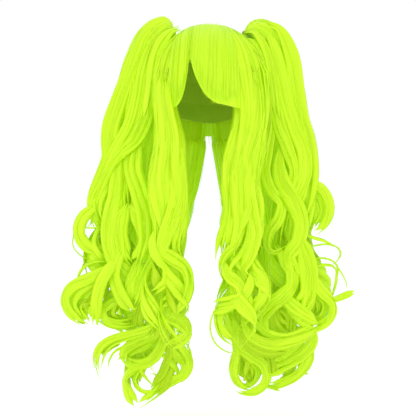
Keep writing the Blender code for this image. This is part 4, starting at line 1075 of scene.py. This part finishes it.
def seen_at(places):
    """The places in metres that the camera sees at pixels of the photo, some millimetres forward."""
    forward = places[:, 2] / 1000
    step = PIXEL * (CAMERA_DISTANCE - forward) / CAMERA_DISTANCE
    x = camera_place[0] + (places[:, 0] - FRAME_PIXELS / 2) * step
    z = camera_place[2] - (places[:, 1] - FRAME_PIXELS / 2) * step
    return np.stack((x, -forward, z), -1)


def traced_lock(row):
    half_width, places = row[0] * PIXEL, row[1:]
    fine = np.linspace(0, 1, 240)
    line = seen_at(np.stack([spread(places, column, fine) for column in range(3)], -1))
    run = np.concatenate(([0], np.cumsum(np.linalg.norm(np.diff(line, axis=0), axis=1))))
    rows = int(np.clip(run[-1] / TRACED_STEP, 14, 64))
    even = np.linspace(0, run[-1], rows)
    points = np.stack([np.interp(even, run, line[:, k]) for k in range(3)], -1)
    points = before_crown(points)
    direction = unit(np.gradient(points, axis=0))
    bend = np.gradient(direction, even, axis=0)
    out = unit(np.array((0.0, -1.0, 0.0)) - BEND_RADIUS * bend)
    wide = unit(np.cross(direction, out))
    thin = unit(np.cross(wide, direction))
    t = np.linspace(0, 1, rows)
    half = half_width * (0.35 + 0.65 * eased(0.0, 0.25, t)) * (1 - 0.30 * eased(0.68, 1.0, t))
    if row[0] <= WISP_PIXELS:
        half = half * (1 - 0.7 * eased(0.85, 1.0, t)) * (0.2 + 0.8 * eased(0.0, 0.1, t))
        return Lock(points, wide, thin, half * 0.6, np.minimum(half * 0.6, 0.0012))
    return Lock(points, wide, thin, half, np.maximum(half * 0.26, 0.0009))


def add_traced(mesh, rows, rng, slot=0):
    for row in rows:
        lock = traced_lock(row)
        if row[0] > WISP_PIXELS:
            add_lock(mesh, lock, rng, int(np.clip(row[0] / 1.7, 2, 6)), int(8 + 3.5 * row[0]), slot)
        else:
            add_core(mesh, lock, rng, 6, 0.10, slot)
            add_strands(mesh, lock, rng, int(6 + 3 * row[0]), 0.35, slot)


# %% [markdown]
# The hair beside the face and at the back doesn't start where its solid starts. It is sewn higher up
# and combed down over the crown, so these locks run from the crown onto the body below it.

# %% Locks combed from the crown onto a body
COMBED_HALF_WIDTH, COMBED_HEIGHT = 0.0082, 0.0026
COMBED_RUN, COMBED_REACH = 0.34, 0.97
CROWN_ROWS, BODY_ROWS, COMBED_POINTS = 12, 10, 34


def combed_lock(sections, side, azimuth, meets, first_polar, last_polar, join):
    """A lock down the crown at one azimuth, onto the side of a body that faces another."""
    polars = np.linspace(first_polar, last_polar, CROWN_ROWS)
    around = np.full_like(polars, side * azimuth)
    centres, wide_arm, deep_arm = sections(np.linspace(join, join + COMBED_RUN, BODY_ROWS))
    outward = np.array((side * math.sin(math.radians(meets)), -math.cos(math.radians(meets)), 0.0))
    across = wide_arm @ outward / (wide_arm**2).sum(1)
    reach = np.hypot(across, deep_arm @ outward / (deep_arm**2).sum(1))
    body = outside_crown(centres + outward / reach[:, None] * COMBED_REACH)
    line = np.concatenate((dome_point(around, polars, COMBED_HEIGHT), body))
    faces = np.concatenate((dome_normal(around, polars), np.repeat(outward[None], BODY_ROWS, axis=0)))
    t = np.linspace(0, 1, COMBED_POINTS)
    points = np.stack([spread(line, column, t) for column in range(3)], -1)
    out = np.stack([spread(faces, column, t) for column in range(3)], -1)
    direction = unit(np.gradient(points, axis=0))
    wide = unit(np.cross(direction, out))
    half = COMBED_HALF_WIDTH * (0.08 + 0.92 * eased(0.0, 0.5, t)) * (1 - 0.8 * eased(0.6, 1.0, t))
    return Lock(points, wide, unit(np.cross(wide, direction)), half, half * 0.24)


def add_combed(mesh, sections, side, azimuths, meets, last_polar, join, rng):
    for azimuth, meeting in zip(azimuths, meets):
        first_polar = rng.uniform(12, 40)
        azimuth = azimuth + rng.uniform(-2, 2)
        lock = combed_lock(sections, side, azimuth, meeting, first_polar, last_polar, join)
        add_lock(mesh, lock, rng, 3, 24)


# %% [markdown]
# ## Filling a body with locks
#
# One function dresses every long piece: a core in the darker lime of painted shade, a ring of wide locks
# near the surface, a ring of smaller ones on top of them, and for each curl two locks in front of two more
# in the painted-shade lime, so that no curl is one plain ribbon. The locks behind the traced ones also take
# the painted-shade lime, and the traced locks come last.

# %% Dressing a body of hair
def dress_body(sections, curls, traced, under, rng, ring, sway, turns, strands, fan=0.0, top=0.0):
    mesh = Mesh()
    ends = (0.88, 1.0)
    shares = np.linspace(top + 0.02, 0.86, 40)
    centres, wide_arm, deep_arm = sections(shares)
    close = (1 - 0.6 * eased(0.7, 0.86, shares)) * (0.4 + 0.6 * eased(0.0, 0.12, shares - top))
    half_width = np.linalg.norm(wide_arm, axis=1) * 0.74 * close
    half_depth = np.linalg.norm(deep_arm, axis=1) * 0.74 * close
    # Slot 1 is the darker lime of painted shade.
    add_core(mesh, Lock(centres, wide_arm, deep_arm, half_width, half_depth), rng, 40, 0.10, slot=1)
    for k in range(ring):
        angle = 2 * np.pi * (k + rng.uniform(-0.2, 0.2)) / ring
        span = (top + rng.uniform(0.0, 0.02), rng.uniform(*ends))
        reach = rng.uniform(0.74, 0.84)
        lock = body_lock(sections, rng, angle, reach, span, 1.35 / ring, sway, turns, 0.007, fan)
        add_lock(mesh, lock, rng, 2, strands)
    for k in range(ring):
        angle = 2 * np.pi * (k + 0.5 + rng.uniform(-0.3, 0.3)) / ring
        span = (top + rng.uniform(0.0, 0.25), rng.uniform(ends[0] - 0.06, ends[1]))
        share = rng.uniform(0.35, 0.75) / ring
        reach = rng.uniform(0.80, 0.89)
        lock = body_lock(sections, rng, angle, reach, span, share, sway * 1.25, turns, 0.005, fan)
        add_lock(mesh, lock, rng, 2, strands * 2 // 3, stray=0.16)
    for row in curls:
        for swing, shift, width, stretch in ((0.95, 0, 0.75, 1.0), (0.80, 34, 0.45, 0.93)):
            jitter = rng.uniform(-8, 8)
            lock = curl_lock(sections, row, swing, shift + jitter, width, stretch)
            add_lock(mesh, lock, rng, 3, strands, stray=0.14)
        for swing, shift in ((0.40, 120), (0.45, 240)):
            lock = curl_lock(sections, row, swing, shift, 0.35, 0.86)
            add_lock(mesh, lock, rng, 1, strands // 3, slot=1)
    add_traced(mesh, under, rng, slot=1)
    add_traced(mesh, traced, rng)
    return mesh


# %% [markdown]
# The pigtails start in a narrow bunch on their sewn bases and fan out over the arch. The photo shows
# their left and right curls in different places, so each side has its own tables.

# %% The pigtails
LEFT_TABLES = (LEFT_PIGTAIL, LEFT_PIGTAIL_CURLS, LEFT_PIGTAIL_TRACED, LEFT_PIGTAIL_UNDER, LEFT_SHADED)
RIGHT_TABLES = (RIGHT_PIGTAIL, RIGHT_PIGTAIL_CURLS, RIGHT_PIGTAIL_TRACED, RIGHT_PIGTAIL_UNDER, RIGHT_SHADED)
for word, side, tables, seed in (("left", -1, LEFT_TABLES, 11), ("right", 1, RIGHT_TABLES, 12)):
    rows, curls, traced, under, shaded = tables
    rng = np.random.default_rng(seed)

    def sections(shares, side=side, rows=rows):
        return pigtail_sections(side, rows, shares)

    mesh = dress_body(
        sections, curls, traced, under, rng, ring=13, sway=0.009, turns=3.2, strands=22, fan=0.6
    )
    # These narrow locks take the third material, a painted shadow.
    add_traced(mesh, shaded, rng, slot=2)
    finish_piece(f"pigtail_locks_{word}", mesh, (hair, inner_hair_painted_shade, painted_shadow_hair), (f"pigtail_{word}",))

# %% [markdown]
# The locks beside the face and the back hair hang straight from where they leave the crown. Their kinds
# differ in how many locks they have, how often these sway, where they start, and how the combed locks
# reach them: azimuths on the crown, directions that they meet, their last angle down, and their join.

# %% The locks beside the face and the back hair
FACE = (9, 3.0, 0.13, (np.linspace(66, 100, 8), np.linspace(55, 160, 8), 66, 0.16))
BACK = (11, 2.6, 0.0, (np.linspace(106, 178, 14), np.linspace(80, 205, 14), 62, 0.08))
for name, tables, seed, (ring, turns, top, combed) in (
    ("face_lock_left", (LEFT_FACE_LOCK, LEFT_FACE_CURLS, LEFT_FACE_TRACED, LEFT_FACE_UNDER), 21, FACE),
    ("face_lock_right", (RIGHT_FACE_LOCK, RIGHT_FACE_CURLS, RIGHT_FACE_TRACED, RIGHT_FACE_UNDER), 22, FACE),
    ("back_hair_left", (LEFT_BACK_HAIR, LEFT_BACK_CURLS, LEFT_BACK_TRACED, LEFT_BACK_UNDER), 31, BACK),
    ("back_hair_right", (RIGHT_BACK_HAIR, RIGHT_BACK_CURLS, RIGHT_BACK_TRACED, RIGHT_BACK_UNDER), 32, BACK),
):
    rng = np.random.default_rng(seed)
    rows, curls, traced, under = tables

    def sections(shares, rows=rows):
        return fall_sections(rows, shares)

    mesh = dress_body(sections, curls, traced, under, rng, ring, 0.008, turns, 20, top=top)
    add_combed(mesh, sections, -1 if "left" in name else 1, *combed, rng)
    finish_piece(f"{name}_locks", mesh, (hair, inner_hair_painted_shade), (name,))

# %% [markdown]
# ## The crown
#
# The crown hair is combed down from the very top in every direction. Its base is one dome with many
# shallow grooves that run down from the top, and fine strands lie over it.

# %% The crown hair
def add_sheet_strands(mesh, lines, normals, rng, width=0.0011):
    """Adds ribbons along given lines, an array of strands by points, flat to the given normals."""
    rows = lines.shape[1]
    side = unit(np.cross(unit(np.gradient(lines, axis=1)), normals))
    line = np.linspace(0, 1, rows)
    taper = np.minimum(1, 6 * line + 0.2) * np.minimum(1, 4 * (1 - line) + 0.15)
    add_ribbons(mesh, lines, side, taper, width, np.linspace(0, 0.2, rows), rng)


def dress_crown():
    rng = np.random.default_rng(41)
    mesh = Mesh()
    around, rings = 300, 34
    azimuths = 360.0 * np.arange(around) / around
    edge = edge_polar(CROWN_EDGE, azimuths)
    share = np.linspace(0.0005, 1, rings)[:, None]
    grooves = rng.uniform(-1, 1, around)
    heights = 0.0007 * grooves * eased(0.05, 0.4, share) - 0.0004
    points = dome_point(azimuths[None] + 0 * share, edge[None] * share, heights)
    u = np.linspace(0, 0.6, around + 1)
    v = np.linspace(0, 0.2, rings)
    mesh.add(points.reshape(-1, 3), grid_faces(rings, around, True), grid_uvs(u, v))
    for count, width, lift, longest in ((200, 0.0050, 0.0003, 1.03), (950, 0.0011, 0.0006, 1.07)):
        place = rng.uniform(0, 360, count)[:, None]
        line = np.linspace(0.02, 1.0, 18)[None]
        start = rng.uniform(0.0, 0.25, count)[:, None]
        down = start + (rng.uniform(0.85, longest, count)[:, None] - start) * line
        sway = rng.normal(0, 1.6, count)[:, None] * np.sin(np.pi * down * 1.3)
        polar = edge_polar(CROWN_EDGE, place) * down
        height = lift + rng.exponential(lift, count)[:, None] * np.sin(np.pi * np.minimum(down, 1))
        lines = dome_point(place + sway, polar, height)
        add_sheet_strands(mesh, lines, dome_normal(place + sway, polar), rng, width)
    return mesh


finish_piece("crown_strands", dress_crown(), (flat_hair,), ("crown_hair",))

# %% [markdown]
# ## The fringe
#
# The fringe lies over the front of the crown and hangs free below it. It is a thin sheet that starts
# near the top of the head, grooved along its strands, with loose strands that end just past its cut
# edge so that the edge isn't a clean line.

# %% The fringe
def fringe_lines(rows, across, down):
    """Angles on the crown for places across the fringe and down it, from -0.4 near the top to 1."""
    top_x = spread(rows, 0, across) * CROWN_HALF_WIDTH
    top_polar = spread(rows, 1, across)
    cut_x = spread(rows, 2, across) * CROWN_HALF_WIDTH
    cut_polar = polar_at(CROWN_TOP - spread(rows, 3, across) * FRINGE_LENGTH)
    below = np.maximum(down, 0)
    above = np.clip(-down / 0.4, 0, 1)
    polar = top_polar + (cut_polar - top_polar) * below - (top_polar - 7.0) * above
    x = top_x + (cut_x - top_x) * below
    x = x * (1 - 0.72 * above)
    ring = np.sin(np.radians(np.minimum(polar, 90))) * CROWN_HALF_WIDTH
    azimuth = np.degrees(np.arcsin(np.clip(x / ring, -0.98, 0.98)))
    return azimuth, polar


def dress_fringe(rows, seed, columns, count, soft):
    rng = np.random.default_rng(seed)
    mesh = Mesh()
    lines = 34
    across = np.linspace(0, 1, columns)[None, :]
    down = np.linspace(-0.38, 1, lines)[:, None]
    azimuth, polar = fringe_lines(rows, across + 0 * down, down + 0 * across)
    grooves = rng.uniform(-1, 1, columns)
    end = np.minimum(eased(-0.3, 0.3, down), eased(-0.1, 0.5, 1 - down))
    side = np.minimum(eased(-0.03, 0.40, across), eased(0.0, soft, 1 - across))
    early = eased(-0.4, 0.1, down)
    start_side = np.minimum(eased(0.0, 0.5, across), eased(0.0, 0.5, 1 - across))
    side = side * early + (1 - early) * start_side
    bulk = 0.0004 + 0.0044 * side * end + 0.0011 * grooves[None] * end * side
    outside = dome_point(azimuth, polar, 0.0008 + bulk)
    inside = dome_point(azimuth, polar, np.full_like(polar, 0.0008))
    ring = np.concatenate((outside, inside[:, ::-1]), axis=1)
    u = np.linspace(0, 0.2, 2 * columns + 1) + seed
    v = np.linspace(0, 0.2, lines)
    mesh.add(ring.reshape(-1, 3), grid_faces(lines, 2 * columns, True), grid_uvs(u, v))
    points = 20
    place = rng.uniform(-0.01, 1.01, count)[:, None]
    line = np.linspace(0, 1, points)[None]
    start = rng.uniform(-0.38, 0.0, count)[:, None]
    finish = rng.uniform(0.93, 1.025, count)[:, None]
    run = start + (finish - start) * line
    drift = rng.normal(0, 0.012, count)[:, None] * np.sin(np.pi * np.maximum(run, 0))
    azimuth, polar = fringe_lines(rows, np.clip(place + drift, 0, 1), run)
    height = 0.0052 + rng.exponential(0.0007, count)[:, None] - 0.0030 * eased(0.75, 1.0, run)
    edge = np.minimum(eased(-0.03, 0.40, place), eased(0.0, soft, 1 - place))
    height = height - 0.0036 * (1 - edge) - 0.0042 * (1 - eased(-0.3, 0.25, run)) * edge
    add_sheet_strands(mesh, dome_point(azimuth, polar, height), dome_normal(azimuth, polar), rng)
    return mesh


for name, rows, seed, columns, count, soft in (
    ("fringe_wide", WIDE_FRINGE, 51, 90, 420, 0.30),
    ("fringe_narrow", NARROW_FRINGE, 52, 50, 220, 0.15),
):
    mesh = dress_fringe(rows, seed, columns, count, soft)
    finish_piece(f"{name}_strands", mesh, (flat_hair,), (name,))

# %% [markdown]
# ## The cap, the sewn bases and the clips
#
# The cap is a stretch net with rows of hair sewn on every few millimetres. On the inside each row shows
# as a raised seam, called a weft. The net is a fine mesh of crossed threads, too small to model, so a
# group of nodes draws it as two sets of slanted lines round the head.

# %% The net's threads
THREAD_SHARE = 0.12


def make_net_group():
    tree, start, end = make_group("net_threads", (("Pitch", 0.0022), ("Radius", 0.08)), ("Thread",))
    place = add_node(tree, "ShaderNodeNewGeometry", (-1100, 300))
    axes = add_node(tree, "ShaderNodeSeparateXYZ", (-900, 300))
    tree.links.new(place.outputs["Position"], axes.inputs[0])
    angle = add_math(tree, "ARCTAN2", (-700, 300), axes.outputs["X"], axes.outputs["Y"])
    around = add_math(tree, "MULTIPLY", (-500, 300), angle, start.outputs["Radius"])
    lines = []
    for row, operation in enumerate(("ADD", "SUBTRACT")):
        slant = add_math(tree, operation, (-300, -200 * row), around, axes.outputs["Z"])
        turns = add_math(tree, "DIVIDE", (-140, -200 * row), slant, start.outputs["Pitch"])
        wave = add_math(tree, "PINGPONG", (20, -200 * row), turns, 0.5)
        lines.append(add_math(tree, "LESS_THAN", (180, -200 * row), wave, THREAD_SHARE))
    tree.links.new(add_math(tree, "MAXIMUM", (340, 0), *lines), end.inputs["Thread"])
    return tree


net = make_net_group()
print("net group sockets", [item.name for item in net.interface.items_tree])

# %% [markdown]
# The net of a neon wig is dyed to match, a shade deeper than the hair, and hair shows between its
# threads. The wefts are the same fabric without the holes. A wig's hidden comb clips are plain moulded
# plastic, so they get a faint mottle and a soft gloss.

# %% The materials of the cap, the bases and the clips
def make_cloth_material(name, cloth, thread, pitch):
    material, tree, shader = new_material(name)
    group = add_node(tree, "ShaderNodeGroup", (-600, 100), node_tree=net)
    group.inputs["Pitch"].default_value = pitch
    mix = add_node(tree, "ShaderNodeMix", (-200, 100), data_type="RGBA")
    mix.inputs[7].default_value = (*thread, 1.0)
    bump = add_node(tree, "ShaderNodeBump", (-200, -300))
    bump.inputs["Distance"].default_value = 0.0004
    tree.links.new(add_mottle(tree, 240.0, [0.8 * value for value in cloth], cloth), mix.inputs[6])
    tree.links.new(group.outputs["Thread"], mix.inputs[0])
    tree.links.new(group.outputs["Thread"], bump.inputs["Height"])
    tree.links.new(mix.outputs[2], shader.inputs["Base Color"])
    tree.links.new(bump.outputs["Normal"], shader.inputs["Normal"])
    shader.inputs["Roughness"].default_value = 0.85
    return material


def make_plastic_material():
    material, tree, shader = new_material("moulded_plastic")
    mottle = add_mottle(tree, 300.0, (0.30, 0.46, 0.020), (0.38, 0.56, 0.030))
    tree.links.new(mottle, shader.inputs["Base Color"])
    shader.inputs["Roughness"].default_value = 0.35
    return material


cap_net = make_cloth_material("cap_net", (0.68, 0.92, 0.06), (0.44, 0.66, 0.012), 0.0024)
sewn_cloth = make_cloth_material("sewn_cloth", (0.46, 0.70, 0.012), (0.34, 0.54, 0.010), 0.0014)
plastic = make_plastic_material()
for node, material in (
    ("wig_cap", cap_net),
    ("pigtail_pad_left", sewn_cloth),
    ("pigtail_pad_right", sewn_cloth),
    ("pigtail_clip_left", plastic),
    ("pigtail_clip_right", plastic),
):
    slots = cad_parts[node].data.materials
    for index in range(len(slots)):
        slots[index] = material
    print(node, "material", slots[0].name)

# %% [markdown]
# The wefts run round the inside of the cap, one under the other. Each is a flat seam half a millimetre
# high, and it lies on the cap's inner face.

# %% The wefts inside the cap
WEFT_ROWS = 13
WEFT_SECTION = ((-0.7, 0.00005), (-0.5, 0.0005), (0.5, 0.0005), (0.7, 0.00005))


def make_wefts():
    """Rings round the cap. The section gives degrees down the cap and metres in from its face."""
    mesh = Mesh()
    azimuths = np.linspace(-180, 180, 121)
    edge = edge_polar(CAP_EDGE, azimuths)
    u = np.linspace(0, 0.003, 5)
    v = np.linspace(0, 0.4, len(azimuths))
    for share in np.linspace(0.16, 0.97, WEFT_ROWS):
        polars = edge * share
        columns = [dome_point(azimuths, polars + lean, -height, CAP_INSIDE) for lean, height in WEFT_SECTION]
        points = np.stack(columns, 1)
        mesh.add(points.reshape(-1, 3), grid_faces(len(azimuths), 4, True), grid_uvs(u, v))
    return mesh


finish_piece("cap_wefts", make_wefts(), (sewn_cloth,))

# %% [markdown]
# ## Light, floor and camera
#
# The wig hangs where a head would hold it, over a wide pale floor in a bright white room, so no line
# shows where the floor ends. The light is plain and soft. The camera looks level from the front, from
# three metres away.

# %% Camera
camera_data = bpy.data.cameras.new("camera")
camera = bpy.data.objects.new("camera", camera_data)
bpy.context.scene.collection.objects.link(camera)
camera.location = camera_place
camera.rotation_euler = (math.radians(90), 0, 0)
camera_data.sensor_fit = "HORIZONTAL"
camera_data.angle = 2 * math.atan(FRAME_PIXELS / 2 * PIXEL / CAMERA_DISTANCE)
bpy.context.scene.camera = camera
print("camera angle in degrees", math.degrees(camera_data.angle))

# %% [markdown]
# The floor lies just under the lowest curls and runs so far that its edge can't be told from the bright
# room. Three soft lights from the front, the side and above give the hair its gloss.

# %% Floor, world and lights
FLOOR_GAP, FLOOR_REACH = 0.05, 40
LIGHT_AIM = (0, 0, -0.3)


def make_floor():
    low, far = CROWN_TOP - HAIR_DROP - FLOOR_GAP, FLOOR_REACH
    corners = [(x, y, low) for x, y in ((-far, -far), (far, -far), (far, far), (-far, far))]
    data = bpy.data.meshes.new("floor")
    data.from_pydata(corners, [], [(0, 1, 2, 3)])
    material, tree, shader = new_material("floor_paper")
    mottle = add_mottle(tree, 3.0, (0.93, 0.93, 0.93), (0.96, 0.96, 0.96))
    tree.links.new(mottle, shader.inputs["Base Color"])
    shader.inputs["Roughness"].default_value = 0.9
    shader.inputs["Specular IOR Level"].default_value = 0.1
    shader.inputs["Emission Color"].default_value = (1, 1, 1, 1)
    shader.inputs["Emission Strength"].default_value = 0.15
    data.materials.append(material)
    floor = bpy.data.objects.new("floor", data)
    bpy.context.scene.collection.objects.link(floor)


def add_area(name, place, size, power):
    light = bpy.data.lights.new(name, "AREA")
    light.shape = "DISK"
    light.size = size
    light.energy = power
    holder = bpy.data.objects.new(name, light)
    bpy.context.scene.collection.objects.link(holder)
    holder.location = place
    direction = np.array(LIGHT_AIM) - np.array(place)
    tilt = math.atan2(math.hypot(direction[0], direction[1]), -direction[2])
    turn = math.atan2(direction[1], direction[0]) - math.pi / 2
    holder.rotation_euler = (tilt, 0, turn)


make_floor()
world = bpy.data.worlds.new("studio")
bpy.context.scene.world = world
world.use_nodes = True
world.node_tree.nodes["Background"].inputs["Color"].default_value = (1, 1, 1, 1)
world.node_tree.nodes["Background"].inputs["Strength"].default_value = 1.0
add_area("key", (-1.2, -2.2, 1.1), 1.2, 5.5)
add_area("fill", (1.6, -1.8, 0.3), 1.4, 1.5)
add_area("top", (0.0, 0.3, 1.6), 1.2, 2)
bpy.context.scene.view_settings.view_transform = "Standard"
bpy.context.scene.view_settings.look = "None"
